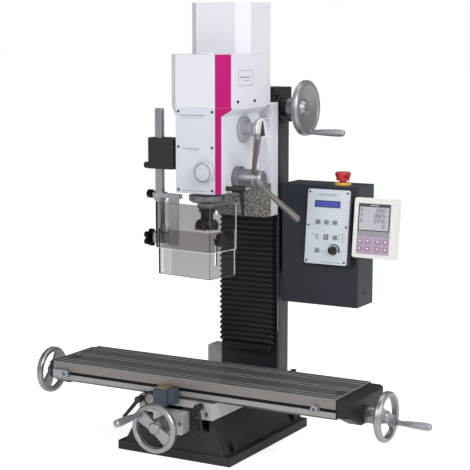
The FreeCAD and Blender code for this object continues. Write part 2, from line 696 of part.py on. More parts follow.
def make_front_plate():
    plate = box(
        -HEAD_FRONT_HALF, HEAD_FRONT_HALF, HEAD_FRONT_Y, CASTING_FRONT_Y, HEAD_BOTTOM_Z, HEAD_TOP_Z,
    )
    plate = plate.cut(rod_y(DIAL_SHAFT_R + 1, HEAD_FRONT_Y - 1, CASTING_FRONT_Y + 1, DIAL_X, DIAL_Z))
    return plate.cut(make_cover_screws())


def make_cover(front_y, z0, z1, hole):
    """A folded sheet cover, open below, with the same front chamfers as the casting."""
    outer = slab_z(head_outline(front_y, COVER_HALF, COVER_CHAMFER, COVER_CHAMFER, COVER_BACK_Y), z0, z1)
    inner = slab_z(head_outline(
        front_y + COVER_WALL, COVER_HALF - COVER_WALL, COVER_CHAMFER - 1, COVER_CHAMFER - 1,
        COVER_BACK_Y - COVER_WALL,
    ), z0 - 1, z1 - COVER_WALL)
    return outer.cut(inner).cut(hole)


def make_lower_cover():
    opening = slab_z(head_outline(
        UPPER_FRONT_Y + COVER_WALL, COVER_HALF - 2 * COVER_WALL, COVER_CHAMFER, COVER_CHAMFER,
        COVER_BACK_Y - 2 * COVER_WALL,
    ), COVER_TOP_Z - 20, COVER_TOP_Z + 1)
    drawbar_hole = rod_z(CAP_BORE_R, COVER_TOP_Z - 20, COVER_TOP_Z + 1, 0, SPINDLE_Y)
    cover = make_cover(HEAD_FRONT_Y, HEAD_TOP_Z, COVER_TOP_Z, joined(opening, drawbar_hole))
    rear_lip = box(-HEAD_HALF, HEAD_HALF, CASTING_BACK_Y, COVER_BACK_Y - 2, HEAD_TOP_Z, HEAD_TOP_Z + 3)
    return joined(cover, rear_lip).cut(make_cover_screws())


CAP_BORE_R = 13.0
CAP_R = 16.0


def make_upper_cover():
    cable_hole = rod_y(6, COVER_BACK_Y - 10, COVER_BACK_Y + 1, 0, COVER_TOP_Z + 20)
    return make_cover(UPPER_FRONT_Y, COVER_TOP_Z, UPPER_TOP_Z, cable_hole)


def make_drawbar_cap():
    """Plug that covers the drawbar, lifted off by hand."""
    cap = turned([
        (0, 0), (CAP_R, 0), (CAP_R, 1), (CAP_R - 2, 2.5), (0, 2.5),
    ])
    plug = Part.makeCylinder(CAP_BORE_R - 1, 12, V(0, 0, -12))
    shape = joined(cap, plug)
    shape.translate(V(0, SPINDLE_Y, COVER_TOP_Z + GAP))
    return shape


def make_cover_screws():
    """Six screws in the front plate and two on the covers' right side."""
    screws = []
    head = socket_screw(2.6, 1.6, 1.5, PLATE_THICK)
    for x in (-PLATE_SCREW_X, PLATE_SCREW_X):
        for z in PLATE_SCREW_ZS:
            screws.append(along_y(head, x, HEAD_FRONT_Y, z))
    side = socket_screw(3.2, 2.4, 2, COVER_WALL)
    for sign in (-1, 1):
        for y in (-30.0, 45.0):
            screws.append(placed(side, (sign * COVER_HALF, y, HEAD_TOP_Z + 12), (0, 1, 0), (sign, 0, 0)))
    return group(*screws)


GEAR_Z = HEAD_TOP_Z + 8.0
GEAR_HEIGHT = 12.0
MOTOR_BOTTOM_Z = GEAR_Z + GEAR_HEIGHT + 8.0
MOTOR_SHAFT_R = 7.0


def make_motor():
    """Motor on its bridge plate, with the shaft end pointing down."""
    plate_z = MOTOR_BOTTOM_Z - 6
    can = rod_z(MOTOR_R, MOTOR_BOTTOM_Z, UPPER_TOP_Z - 40, 0, MOTOR_Y)
    cap = rod_z(MOTOR_R - 8, UPPER_TOP_Z - 40, UPPER_TOP_Z - 26, 0, MOTOR_Y)
    plate = box(-COVER_HALF + 10, COVER_HALF - 10, MOTOR_Y - 34, CASTING_BACK_Y - 4, plate_z, MOTOR_BOTTOM_Z)
    legs = [
        box(side * 57 - 6, side * 57 + 6, CASTING_BACK_Y - 22, CASTING_BACK_Y - 6, HEAD_TOP_Z, plate_z)
        for side in (-1, 1)
    ]
    bore = rod_z(MOTOR_SHAFT_R + RUNNING, plate_z - 1, MOTOR_BOTTOM_Z + 30, 0, MOTOR_Y)
    return joined(can, cap, plate, *legs).cut(bore)


def make_motor_gear():
    """Motor shaft and its pinion, in mesh with the spindle gear."""
    toothed = gear(GEAR_MODULE, MOTOR_TEETH, GEAR_HEIGHT, MOTOR_SHAFT_R, True)
    toothed = placed(toothed, (0, MOTOR_Y, GEAR_Z), (0, -1, 0), (0, 0, 1))
    return joined(toothed, rod_z(MOTOR_SHAFT_R, GEAR_Z, MOTOR_BOTTOM_Z + 28, 0, MOTOR_Y))


# ---------------------------------------------------------------- spindle line
def make_quill():
    """Quill sleeve with a rack cut in its back, its nose ring, and two bearing rings."""
    sleeve = rod_z(QUILL_R, NOSE_RING_Z + NOSE_RING_HEIGHT, QUILL_TOP_Z, 0, SPINDLE_Y)
    nose = turned([
        (SPINDLE_NOSE_R + 1, 0), (NOSE_RING_R - 6, 0), (NOSE_RING_R, 5), (NOSE_RING_R, NOSE_RING_HEIGHT),
        (SPINDLE_NOSE_R + 1, NOSE_RING_HEIGHT),
    ])
    nose.translate(V(0, SPINDLE_Y, NOSE_RING_Z))
    sleeve = sleeve.cut(rod_z(QUILL_BORE, NOSE_RING_Z, QUILL_TOP_Z + 1, 0, SPINDLE_Y))
    lip = rod_z(
        SPINDLE_NOSE_R + 2, NOSE_RING_Z + NOSE_RING_HEIGHT - 4, NOSE_RING_Z + NOSE_RING_HEIGHT, 0,
        SPINDLE_Y,
    )
    lip = lip.cut(rod_z(QUILL_BORE, NOSE_RING_Z, QUILL_TOP_Z, 0, SPINDLE_Y))
    body = joined(sleeve, nose, lip)
    pitch = math.pi * FEED_MODULE
    pitch_y = SPINDLE_Y + QUILL_R
    for index in range(-2, 14):
        z = FEED_Z + index * pitch
        body = body.cut(slab_x([
            (pitch_y - 1.3 * FEED_MODULE, z - 0.21 * pitch), (pitch_y + FEED_MODULE, z - 0.42 * pitch),
            (pitch_y + FEED_MODULE, z + 0.42 * pitch), (pitch_y - 1.3 * FEED_MODULE, z + 0.21 * pitch),
        ], -9, 9))
    rings = []
    for z in (NOSE_RING_Z + NOSE_RING_HEIGHT + 4, QUILL_TOP_Z - 18):
        outer = rod_z(QUILL_BORE, z, z + 14, 0, SPINDLE_Y)
        rings.append(outer.cut(rod_z(SPINDLE_SHAFT_R + RUNNING, z - 1, z + 15, 0, SPINDLE_Y)))
    return group(body, *rings)


QUILL_TRAVEL = 50.0
SPINDLE_TOP_Z = GEAR_Z + GEAR_HEIGHT + QUILL_TRAVEL + 6.0
TAPER_TOP_Z = SPINDLE_NOSE_Z + 60.0
TAPER_TOP_R = 8.0
TAPER_FOOT_R = 11.5


def make_spindle():
    """Spindle with its taper socket; its shaft slides through the drive gear above."""
    nose = rod_z(SPINDLE_NOSE_R, SPINDLE_NOSE_Z, NOSE_RING_Z + NOSE_RING_HEIGHT - 5, 0, SPINDLE_Y)
    shaft = rod_z(SPINDLE_SHAFT_R, NOSE_RING_Z, SPINDLE_TOP_Z, 0, SPINDLE_Y)
    socket = turned([
        (0, 0), (TAPER_FOOT_R + 0.1, 0), (TAPER_TOP_R + 0.1, TAPER_TOP_Z - SPINDLE_NOSE_Z),
        (0, TAPER_TOP_Z - SPINDLE_NOSE_Z),
    ])
    socket.translate(V(0, SPINDLE_Y, SPINDLE_NOSE_Z))
    drawbar_bore = rod_z(5, SPINDLE_NOSE_Z, SPINDLE_TOP_Z + 1, 0, SPINDLE_Y)
    return joined(nose, shaft).cut(socket).cut(drawbar_bore)


def make_spindle_gear():
    """Drive gear on a collar; the spindle's shaft slides through its bore."""
    toothed = gear(GEAR_MODULE, SPINDLE_TEETH, GEAR_HEIGHT, SPINDLE_SHAFT_R + RUNNING, False)
    toothed = placed(toothed, (0, SPINDLE_Y, GEAR_Z), (0, 1, 0), (0, 0, 1))
    collar = rod_z(SPINDLE_SHAFT_R + 7, HEAD_TOP_Z + GAP, GEAR_Z, 0, SPINDLE_Y)
    return joined(toothed, collar.cut(rod_z(SPINDLE_SHAFT_R + RUNNING, HEAD_TOP_Z, GEAR_Z + 1, 0, SPINDLE_Y)))


def make_arbor():
    """Cutter arbor: taper shank in the spindle, collar, and the drawbar above."""
    shank = turned([
        (0, 0), (TAPER_FOOT_R, 0), (TAPER_TOP_R, TAPER_TOP_Z - SPINDLE_NOSE_Z - 1),
        (0, TAPER_TOP_Z - SPINDLE_NOSE_Z - 1),
    ])
    shank.translate(V(0, SPINDLE_Y, SPINDLE_NOSE_Z))
    body = rod_z(ARBOR_R, ARBOR_Z, SPINDLE_NOSE_Z, 0, SPINDLE_Y)
    collar = rod_z(ARBOR_R + 4, SPINDLE_NOSE_Z - 9, SPINDLE_NOSE_Z - 2, 0, SPINDLE_Y)
    pilot = rod_z(8, ARBOR_Z - MILL_HEIGHT + 8, ARBOR_Z, 0, SPINDLE_Y)
    drawbar = rod_z(4.8, TAPER_TOP_Z - 2, SPINDLE_TOP_Z + 4, 0, SPINDLE_Y)
    return joined(shank, body, collar, pilot, drawbar)


INSERTS = 5


def make_face_mill():
    """Face mill with five chip pockets, its centre screw, and a square insert in each pocket."""
    bottom = ARBOR_Z - MILL_HEIGHT
    body = turned([
        (8.05, MILL_HEIGHT), (MILL_R - 6, MILL_HEIGHT), (MILL_R - 1, MILL_HEIGHT - 8), (MILL_R - 1, 1.5),
        (MILL_R - 3, 1), (11, 1), (11, 7), (8.05, 7),
    ])
    inserts = []
    for index in range(INSERTS):
        turn = 360.0 / INSERTS * index
        pocket = box(MILL_R - 11, MILL_R + 1, 0, 8, -1, 12)
        pocket.rotate(V(0, 0, 0), V(0, 0, 1), turn)
        body = body.cut(pocket)
        insert = box(MILL_R - 9, MILL_R, -0.5, 2.7, 0, 9)
        insert.rotate(V(0, 0, 0), V(0, 0, 1), turn)
        body = body.cut(insert)
        inserts.append(insert)
    screw = turned([(0, 1.5), (10, 1.5), (10, 6.5), (0, 6.5)])
    pieces = [body, screw] + inserts
    return group(*[placed(piece, (0, SPINDLE_Y, bottom), (1, 0, 0), (0, 0, 1)) for piece in pieces])


# ---------------------------------------------------------------- head controls
def make_feed_hub():
    """Feed shaft with the pinion that moves the quill's rack, and flange, hub and end cap outside."""
    hub = turned([
        (0, FEED_STEP_X), (FEED_SHAFT_R, FEED_STEP_X),
        (FEED_SHAFT_R, HEAD_HALF + GAP), (26, HEAD_HALF + GAP), (26, HEAD_HALF + 12),
        (21, HEAD_HALF + 14), (21, FEED_END_X - 22), (19, FEED_END_X - 20), (19, FEED_END_X - 8),
        (15, FEED_END_X - 3), (8, FEED_END_X), (0, FEED_END_X),
    ])
    hub = along_x(hub, 0, FEED_Y, FEED_Z)
    toothed = gear(FEED_MODULE, FEED_TEETH, 2 * FEED_GEAR_HALF, FEED_CORE_R - 1, False)
    toothed = placed(toothed, (-FEED_GEAR_HALF, FEED_Y, FEED_Z), (0, -1, 0), (1, 0, 0))
    core = rod_x(FEED_CORE_R, FEED_CORE_X, FEED_STEP_X + 1, FEED_Y, FEED_Z)
    hub = joined(hub, toothed, core)
    for angle in LEVER_ANGLES:
        hub = hub.cut(lever_solid(angle, LEVER_ROD_R, LEVER_ROD_R, LEVER_SEAT, 0.5))
    return hub


LEVER_ROD_R = 5.0
LEVER_TIP_R = 8.0
LEVER_FOOT_X = FEED_END_X - 30.0
LEVER_SEAT = 0.07


def lever_axis(angle):
    """Start and direction of a feed lever: square to the hub, leaning outwards."""
    across = (math.cos(math.radians(angle)), math.sin(math.radians(angle)))
    start = V(LEVER_FOOT_X, FEED_Y, FEED_Z)
    way = V(LEVER_LEAN, LEVER_REACH * across[0], LEVER_REACH * across[1])
    return start, way


def lever_solid(angle, r0, r1, share0, share1):
    start, way = lever_axis(angle)
    foot = start + way * share0
    length = way.Length * (share1 - share0)
    if abs(r0 - r1) < 0.01:
        return Part.makeCylinder(r0, length, foot, way)
    return Part.makeCone(r0, r1, length, foot, way)


def make_feed_levers():
    """Two levers: steel rod, then a tapered grip with a rounded end."""
    levers = []
    for angle in LEVER_ANGLES:
        start, way = lever_axis(angle)
        steel = lever_solid(angle, LEVER_ROD_R, LEVER_ROD_R, LEVER_SEAT, 0.5)
        grip = lever_solid(angle, LEVER_ROD_R + 0.6, LEVER_TIP_R, 0.36, 0.95)
        tip = Part.makeSphere(LEVER_TIP_R, start + way * 0.95)
        levers.append(joined(steel, grip, tip))
    return group(*levers)


def make_depth_dial():
    """Depth dial on the front plate: knurled ring, stepped face and a pointer."""
    dial = turned([
        (0, -6), (DIAL_SHAFT_R, -6), (DIAL_SHAFT_R, PLATE_THICK + GAP), (DIAL_R, PLATE_THICK + GAP),
        (DIAL_R, 14), (DIAL_R - 2, 17), (8, 17), (8, 20), (0, 20),
    ])
    pointer = box(-2, 2, 0, DIAL_R - 4, 16, 19)
    return along_y(joined(dial, pointer), DIAL_X, CASTING_FRONT_Y, DIAL_Z)


def make_gear_knob():
    """Two-speed gear selector: flange, neck and a knob with a wedge pointer."""
    knob = turned([
        (0, HEAD_HALF - 22), (SELECTOR_SHAFT_R, HEAD_HALF - 22), (SELECTOR_SHAFT_R, HEAD_HALF + GAP),
        (SELECTOR_FLANGE_R, HEAD_HALF + GAP), (SELECTOR_FLANGE_R, HEAD_HALF + 5),
        (SELECTOR_FLANGE_R - 2.5, HEAD_HALF + 7), (14, HEAD_HALF + 9),
        (14, 88), (21, 91), (24.5, 96), (24.5, 102), (23, 104), (0, 104),
    ])
    wedge = slab_z([(-9, -14), (9, -14), (0, 19)], 103, 107)
    return along_x(joined(knob, wedge), 0, SELECTOR_Y, SELECTOR_Z)


LOCK_SHAFT_R = 5.0
LOCK_INNER_X = 34.0
LOCK_ARM = 54.0


def make_quill_lock():
    """Quill clamp: screw into the head, hub and a lever hanging down."""
    spindle = rod_x(LOCK_SHAFT_R, LOCK_INNER_X + 1, HEAD_HALF + 20, LOCK_Y, LOCK_Z)
    hub = rod_x(8, HEAD_HALF + 16, HEAD_HALF + 42, LOCK_Y, LOCK_Z)
    arm = Part.makeCone(5.5, 3.5, LOCK_ARM, V(HEAD_HALF + 36, LOCK_Y, LOCK_Z), V(0.08, 0, -1))
    return joined(
        spindle, hub, arm,
        Part.makeSphere(4.2, V(HEAD_HALF + 36 + 0.08 * LOCK_ARM, LOCK_Y, LOCK_Z - LOCK_ARM)),
    )


# ---------------------------------------------------------------- chip guard
BLOCK_LEFT_X = -121.0
BLOCK_BOTTOM_Z = 609.0
BLOCK_TOP_Z = 677.0
BLOCK_HALF_Y = 17.0


def make_guard_block():
    """Black block on the head's left side that holds the post, with its thumb screw."""
    block = box(
        BLOCK_LEFT_X, -HEAD_HALF, POST_Y + 2 - BLOCK_HALF_Y, POST_Y + 2 + BLOCK_HALF_Y,
        BLOCK_BOTTOM_Z, BLOCK_TOP_Z,
    )
    block = block.cut(rod_z(POST_R + RUNNING, BLOCK_BOTTOM_Z - 1, BLOCK_TOP_Z + 1, POST_X, POST_Y))
    casting = slab_z(
        head_outline(CASTING_FRONT_Y, HEAD_HALF, HEAD_HALF - HEAD_FRONT_HALF, 10, CASTING_BACK_Y),
        BLOCK_BOTTOM_Z - 1, BLOCK_TOP_Z + 1,
    )
    block = joined(
        block,
        box(
            -HEAD_HALF - 1, -HEAD_FRONT_HALF - 2, POST_Y - 2, POST_Y + 2 + BLOCK_HALF_Y,
            BLOCK_BOTTOM_Z, BLOCK_TOP_Z,
        ),
    ).cut(casting)
    screw = turned([(0, 0), (3, 0), (3, 6), (7.25, 6), (7.25, 16), (5.5, 18), (0, 18)])
    screw = placed(screw, (BLOCK_LEFT_X, POST_Y, BLOCK_BOTTOM_Z + 6), (0, 1, 0), (-1, 0, 0))
    return group(block, screw)


def make_guard_post():
    post = rod_z(POST_R, POST_BOTTOM_Z, POST_TOP_Z - 2, POST_X, POST_Y)
    crown = rod_z(POST_R - 1.5, POST_TOP_Z - 2, POST_TOP_Z, POST_X, POST_Y)
    collar = rod_z(POST_R + 3, ARM_BOTTOM_Z - 8, ARM_BOTTOM_Z - GAP, POST_X, POST_Y)
    return joined(post, crown, collar)


ARM_BOTTOM_Z = 547.0
ARM_TOP_Z = 556.5
HUB_R = POST_R + 6.0
STAR_Z = 452.0
STAR_R = 20.0


def swung(shape):
    """A shape made square to the machine, turned about the post to where the guard stands."""
    shape.rotate(V(POST_X, POST_Y, 0), V(0, 0, 1), GUARD_TURN)
    return shape


def star_knob(lobes, radius, height):
    """A knob with a ring of round lobes."""
    core = Part.makeCylinder(0.62 * radius, height)
    lobe_r = math.pi * 0.55 * radius / lobes
    shapes = [
        Part.makeCylinder(lobe_r, height, V(
            (radius - lobe_r) * math.cos(2 * math.pi * k / lobes),
            (radius - lobe_r) * math.sin(2 * math.pi * k / lobes), 0,
        ))
        for k in range(lobes)
    ]
    return joined(core, *shapes)


def make_guard_arm():
    """Arm clamped round the post, its knob, and the lower carrier with its star knob."""
    hub = rod_z(HUB_R, ARM_BOTTOM_Z, ARM_TOP_Z, POST_X, POST_Y)
    bar = box(POST_X, GUARD_LEFT_X + 32, POST_Y - 14, POST_Y - 1, ARM_BOTTOM_Z, ARM_TOP_Z)
    stud = rod_x(4, POST_X - HUB_R - 6, POST_X, POST_Y, (ARM_BOTTOM_Z + ARM_TOP_Z) / 2)
    knob = rod_x(9.5, POST_X - HUB_R - 16, POST_X - HUB_R - 5, POST_Y, (ARM_BOTTOM_Z + ARM_TOP_Z) / 2)
    hanger = box(
        GUARD_LEFT_X + SHEET + GAP, GUARD_LEFT_X + 32, POST_Y - 14, POST_Y - 11, STAR_Z - 8,
        ARM_BOTTOM_Z + 1,
    )
    bore = rod_z(POST_R + RUNNING, STAR_Z - 30, ARM_TOP_Z + 1, POST_X, POST_Y)
    arm = joined(hub, bar, stud, knob, hanger).cut(bore)
    foot_hub = rod_z(HUB_R, STAR_Z - 6, STAR_Z + 16, POST_X, POST_Y)
    foot_bar = box(POST_X, GUARD_LEFT_X, POST_Y - 5, POST_Y, STAR_Z - 6, STAR_Z + 16)
    foot_stud = rod_x(4, POST_X - HUB_R - 12, POST_X, POST_Y, STAR_Z + 2)
    star = placed(star_knob(5, STAR_R, 9), (POST_X - HUB_R - 8, POST_Y, STAR_Z + 2), (0, 1, 0), (-1, 0, 0))
    foot = joined(foot_hub, foot_bar, foot_stud, star).cut(bore)
    return swung(group(arm, foot))


def guard_sheet(inset, z0, z1, left_back_y):
    """Three clear walls, open at the back, above and below."""
    outer = box(GUARD_LEFT_X + inset, GUARD_RIGHT_X - inset, GUARD_FRONT_Y + inset, GUARD_RIGHT_BACK_Y, z0, z1)
    inner = box(
        GUARD_LEFT_X + inset + SHEET, GUARD_RIGHT_X - inset - SHEET, GUARD_FRONT_Y + inset + SHEET,
        GUARD_RIGHT_BACK_Y + 1, z0 - 1, z1 + 1,
    )
    trim = box(GUARD_LEFT_X - 1, 0, left_back_y, GUARD_RIGHT_BACK_Y + 1, z0 - 1, z1 + 1)
    return outer.cut(inner).cut(trim)


LOWER_INSET = SHEET + 1.0
SLIDE_SLOT_Y = GUARD_FRONT_Y + 24.0
SLIDE_STUD_Z = 470.0
SLIDE_TRAVEL = 50.0


def make_guard_upper():
    """Upper clear shield, with the stud and three-lobed knob of the lower one's slot."""
    shield = guard_sheet(0, GUARD_BOTTOM_Z, GUARD_TOP_Z, POST_Y)
    stud = rod_x(3, GUARD_RIGHT_X - LOWER_INSET - SHEET - 3, GUARD_RIGHT_X + 4, SLIDE_SLOT_Y, SLIDE_STUD_Z)
    knob = placed(star_knob(3, 15, 12), (GUARD_RIGHT_X + 3, SLIDE_SLOT_Y, SLIDE_STUD_Z), (0, 0, 1), (1, 0, 0))
    return swung(group(shield.cut(stud), joined(stud, knob)))


def make_guard_lower():
    """Lower clear shield that slides up inside the upper one."""
    shield = guard_sheet(LOWER_INSET, LOWER_BOTTOM_Z, LOWER_TOP_Z, POST_Y - 16)
    slot = box(
        GUARD_RIGHT_X - LOWER_INSET - SHEET - 1, GUARD_RIGHT_X, SLIDE_SLOT_Y - 3.5, SLIDE_SLOT_Y + 3.5,
        SLIDE_STUD_Z - SLIDE_TRAVEL - 5, SLIDE_STUD_Z + 5,
    )
    return swung(shield.cut(slot))


# ---------------------------------------------------------------- saddle and table
TABLE_LEFT_X = TABLE_OFFSET - TABLE_LENGTH / 2
TABLE_RIGHT_X = TABLE_OFFSET + TABLE_LENGTH / 2
TABLE_BOTTOM_Z = SADDLE_TOP_Z + 1.3
TABLE_TOP_Z = TABLE_BOTTOM_Z + TABLE_THICK
TABLE_FRONT_Y = TABLE_MID_Y - TABLE_WIDTH / 2
TABLE_BACK_Y = TABLE_MID_Y + TABLE_WIDTH / 2
SADDLE_BACK_Y = SADDLE_FRONT_Y + SADDLE_LENGTH
SADDLE_BOTTOM_Z = BASE_TOP_Z + 2.5
X_CHANNEL_HALF = 12.0
X_CHANNEL_Z = X_SCREW_Z - 9.5
NUT_LENGTH = 40.0
SADDLE_LOCK_R = 5.0
LEFT_LOCK = (-84.0, 119.0)
RIGHT_LOCK = (64.0, 119.5)
LEFT_LEVER = (-33.0, -40.0)
RIGHT_LEVER = (14.0, -46.0)


def make_saddle():
    """Saddle casting between the two pairs of ways, and its two bronze nuts."""
    block = box(-SADDLE_HALF, SADDLE_HALF, SADDLE_FRONT_Y, SADDLE_BACK_Y, SADDLE_BOTTOM_Z, SADDLE_TOP_Z)
    way = slab_x([
        (TABLE_MID_Y - X_WAY_FOOT_HALF, SADDLE_TOP_Z), (TABLE_MID_Y + X_WAY_FOOT_HALF, SADDLE_TOP_Z),
        (TABLE_MID_Y + X_WAY_TOP_HALF, SADDLE_TOP_Z + X_WAY_HEIGHT),
        (TABLE_MID_Y - X_WAY_TOP_HALF, SADDLE_TOP_Z + X_WAY_HEIGHT),
    ], -SADDLE_HALF, SADDLE_HALF)
    under = slab_y([
        (-Y_WAY_FOOT_HALF - 0.4, BASE_TOP_Z), (Y_WAY_FOOT_HALF + 0.4, BASE_TOP_Z),
        (Y_WAY_TOP_HALF + 0.4, Y_WAY_TOP_Z + GAP), (-Y_WAY_TOP_HALF - 0.4, Y_WAY_TOP_Z + GAP),
    ], SADDLE_FRONT_Y - 1, SADDLE_BACK_Y + 1)
    channel = box(
        -SADDLE_HALF - 1, SADDLE_HALF + 1, TABLE_MID_Y - X_CHANNEL_HALF, TABLE_MID_Y + X_CHANNEL_HALF,
        X_CHANNEL_Z, SADDLE_TOP_Z + X_WAY_HEIGHT + 1,
    )
    casting = joined(block, way).cut(under).cut(channel)
    for x, z in (LEFT_LOCK, RIGHT_LOCK):
        casting = casting.cut(rod_y(SADDLE_LOCK_R + RUNNING, SADDLE_FRONT_Y - 1, SADDLE_FRONT_Y + 24, x, z))
    casting = casting.cut(
        rod_y(5, SADDLE_FRONT_Y - 1, SADDLE_FRONT_Y + 12, SADDLE_HALF - 16, SADDLE_BOTTOM_Z + 12),
    )
    casting = casting.cut(tube(LEAD_POINTS, LEAD_R))
    x_nut = box(
        -NUT_LENGTH / 2, NUT_LENGTH / 2, TABLE_MID_Y - X_CHANNEL_HALF, TABLE_MID_Y + X_CHANNEL_HALF,
        X_CHANNEL_Z, SADDLE_TOP_Z + X_WAY_HEIGHT - 4,
    ).cut(rod_x(SCREW_R + RUNNING, -NUT_LENGTH, NUT_LENGTH, TABLE_MID_Y, X_SCREW_Z))
    nut_half = CHANNEL_HALF - 3
    y_nut = box(-nut_half, nut_half, TABLE_MID_Y, TABLE_MID_Y + NUT_LENGTH, Y_SCREW_Z - 14, Y_WAY_TOP_Z + GAP)
    y_nut = y_nut.cut(rod_y(SCREW_R + RUNNING, TABLE_MID_Y - 1, TABLE_MID_Y + NUT_LENGTH + 1, 0, Y_SCREW_Z))
    return group(casting, x_nut, y_nut)


def make_table():
    slab = box(TABLE_LEFT_X, TABLE_RIGHT_X, TABLE_FRONT_Y, TABLE_BACK_Y, TABLE_BOTTOM_Z, TABLE_TOP_Z)
    under = slab_x([
        (TABLE_MID_Y - X_WAY_FOOT_HALF - 0.4, TABLE_BOTTOM_Z - 1.3),
        (TABLE_MID_Y + X_WAY_FOOT_HALF + 0.4, TABLE_BOTTOM_Z - 1.3),
        (TABLE_MID_Y + X_WAY_TOP_HALF + 0.4, SADDLE_TOP_Z + X_WAY_HEIGHT + GAP),
        (TABLE_MID_Y - X_WAY_TOP_HALF - 0.4, SADDLE_TOP_Z + X_WAY_HEIGHT + GAP),
    ], TABLE_LEFT_X - 1, TABLE_RIGHT_X + 1)
    table = slab.cut(under)
    neck_z = TABLE_TOP_Z - T_SLOT_NECK_DEPTH
    for row in (-1, 0, 1):
        y = TABLE_MID_Y + row * T_SLOT_PITCH
        neck = box(
            TABLE_LEFT_X - 1, TABLE_RIGHT_X + 1, y - T_SLOT_NECK / 2, y + T_SLOT_NECK / 2, neck_z,
            TABLE_TOP_Z + 1,
        )
        foot = box(
            TABLE_LEFT_X - 1, TABLE_RIGHT_X + 1, y - T_SLOT_FOOT / 2, y + T_SLOT_FOOT / 2,
            neck_z - T_SLOT_FOOT_DEPTH, neck_z,
        )
        table = table.cut(neck).cut(foot)
    groove_z = TABLE_TOP_Z - SCALE_GROOVE_Z
    table = table.cut(box(
        TABLE_LEFT_X - 1, TABLE_RIGHT_X + 1, TABLE_FRONT_Y - 1, TABLE_FRONT_Y + SCALE_GROOVE_DEPTH,
        groove_z - SCALE_GROOVE_HEIGHT, groove_z,
    ))
    lip = slab_x([
        (TABLE_FRONT_Y - 1, TABLE_BOTTOM_Z - 1), (TABLE_FRONT_Y + 7, TABLE_BOTTOM_Z - 1),
        (TABLE_FRONT_Y - 1, TABLE_BOTTOM_Z + 7),
    ], TABLE_LEFT_X - 1, TABLE_RIGHT_X + 1)
    return table.cut(lip)


BRACKET_TOP_DROP = 2.0


def make_end_brackets():
    """Left and right end brackets, each with the X screw's bearing."""
    top = TABLE_TOP_Z - BRACKET_TOP_DROP
    outline = [
        (TABLE_FRONT_Y + 4, top), (TABLE_FRONT_Y + 4, TABLE_BOTTOM_Z + 6), (TABLE_MID_Y - 26, X_SCREW_Z - 18),
        (TABLE_MID_Y + 26, X_SCREW_Z - 18), (TABLE_BACK_Y - 4, TABLE_BOTTOM_Z + 6), (TABLE_BACK_Y - 4, top),
    ]
    bore = rod_x(SCREW_R + RUNNING, TABLE_LEFT_X - 100, TABLE_RIGHT_X + 100, TABLE_MID_Y, X_SCREW_Z)
    left = slab_x(outline, TABLE_LEFT_X - LEFT_BRACKET, TABLE_LEFT_X).cut(bore)
    right = slab_x(outline, TABLE_RIGHT_X, TABLE_RIGHT_X + RIGHT_BRACKET)
    outer_top = [
        e for e in right.Edges
        if e.BoundBox.XMin > TABLE_RIGHT_X + 1 and e.BoundBox.ZLength < 0.1 and e.BoundBox.ZMin > top - 1
    ]
    right = right.makeFillet(9, outer_top)
    return group(left, right.cut(bore))


def make_table_stops():
    """Stop ring on the right and stop block on the left, clamped in the front groove."""
    z = TABLE_TOP_Z - SCALE_GROOVE_Z - SCALE_GROOVE_HEIGHT / 2
    keep = SCALE_GROOVE_HEIGHT / 2 - 0.2
    ring_x = TABLE_RIGHT_X - 45
    ring = rod_y(8, TABLE_FRONT_Y - 7, TABLE_FRONT_Y, ring_x, z)
    ring = ring.cut(rod_y(4, TABLE_FRONT_Y - 8, TABLE_FRONT_Y - 2, ring_x, z))
    ring_key = box(
        ring_x - 9, ring_x + 9, TABLE_FRONT_Y, TABLE_FRONT_Y + SCALE_GROOVE_DEPTH, z - keep,
        z + keep,
    )
    block_x = TABLE_LEFT_X + 4
    block = box(block_x, block_x + 40, TABLE_FRONT_Y - 9, TABLE_FRONT_Y, z - 8, z + 8)
    block = block.cut(rod_y(4.5, TABLE_FRONT_Y - 10, TABLE_FRONT_Y - 4, block_x + 30, z))
    block_key = box(
        block_x, block_x + 40, TABLE_FRONT_Y, TABLE_FRONT_Y + SCALE_GROOVE_DEPTH, z - keep,
        z + keep,
    )
    return group(joined(ring, ring_key), joined(block, block_key))


COLLAR_R = 18.0


def make_x_screw():
    """X screw with a graduated collar at each end."""
    screw = rod_x(SCREW_R, X_WHEEL_LEFT - 8, X_WHEEL_RIGHT - 4, TABLE_MID_Y, X_SCREW_Z)
    right = rod_x(
        COLLAR_R, TABLE_RIGHT_X + RIGHT_BRACKET + GAP, X_WHEEL_RIGHT - WHEEL_RIM - 4, TABLE_MID_Y, X_SCREW_Z,
    )
    left = rod_x(
        COLLAR_R - 3, X_WHEEL_LEFT + 4, TABLE_LEFT_X - LEFT_BRACKET - GAP, TABLE_MID_Y, X_SCREW_Z,
    )
    return joined(screw, right, left)


def make_x_wheels():
    right = placed(
        make_spoked_wheel(True, X_GRIP_LENGTH, SCREW_R), (X_WHEEL_RIGHT, TABLE_MID_Y, X_SCREW_Z),
        X_GRIP_WAY, (1, 0, 0),
    )
    left = placed(
        make_spoked_wheel(False, 0, SCREW_R), (X_WHEEL_LEFT - WHEEL_RIM, TABLE_MID_Y, X_SCREW_Z),
        unit(0, 30, 40), (-1, 0, 0),
    )
    return group(right, left)


def make_y_screw():
    screw = rod_y(SCREW_R, Y_WHEEL_FRONT + 4, Y_WAY_END - 9, 0, Y_SCREW_Z)
    collar = rod_y(COLLAR_R, Y_WHEEL_FRONT + WHEEL_RIM + 4, BRACKET_FRONT_Y - GAP, 0, Y_SCREW_Z)
    return joined(screw, collar)


def make_y_wheel():
    return placed(
        make_spoked_wheel(True, Y_GRIP_LENGTH, SCREW_R), (0, Y_WHEEL_FRONT, Y_SCREW_Z), Y_GRIP_WAY, (0, -1, 0),
    )


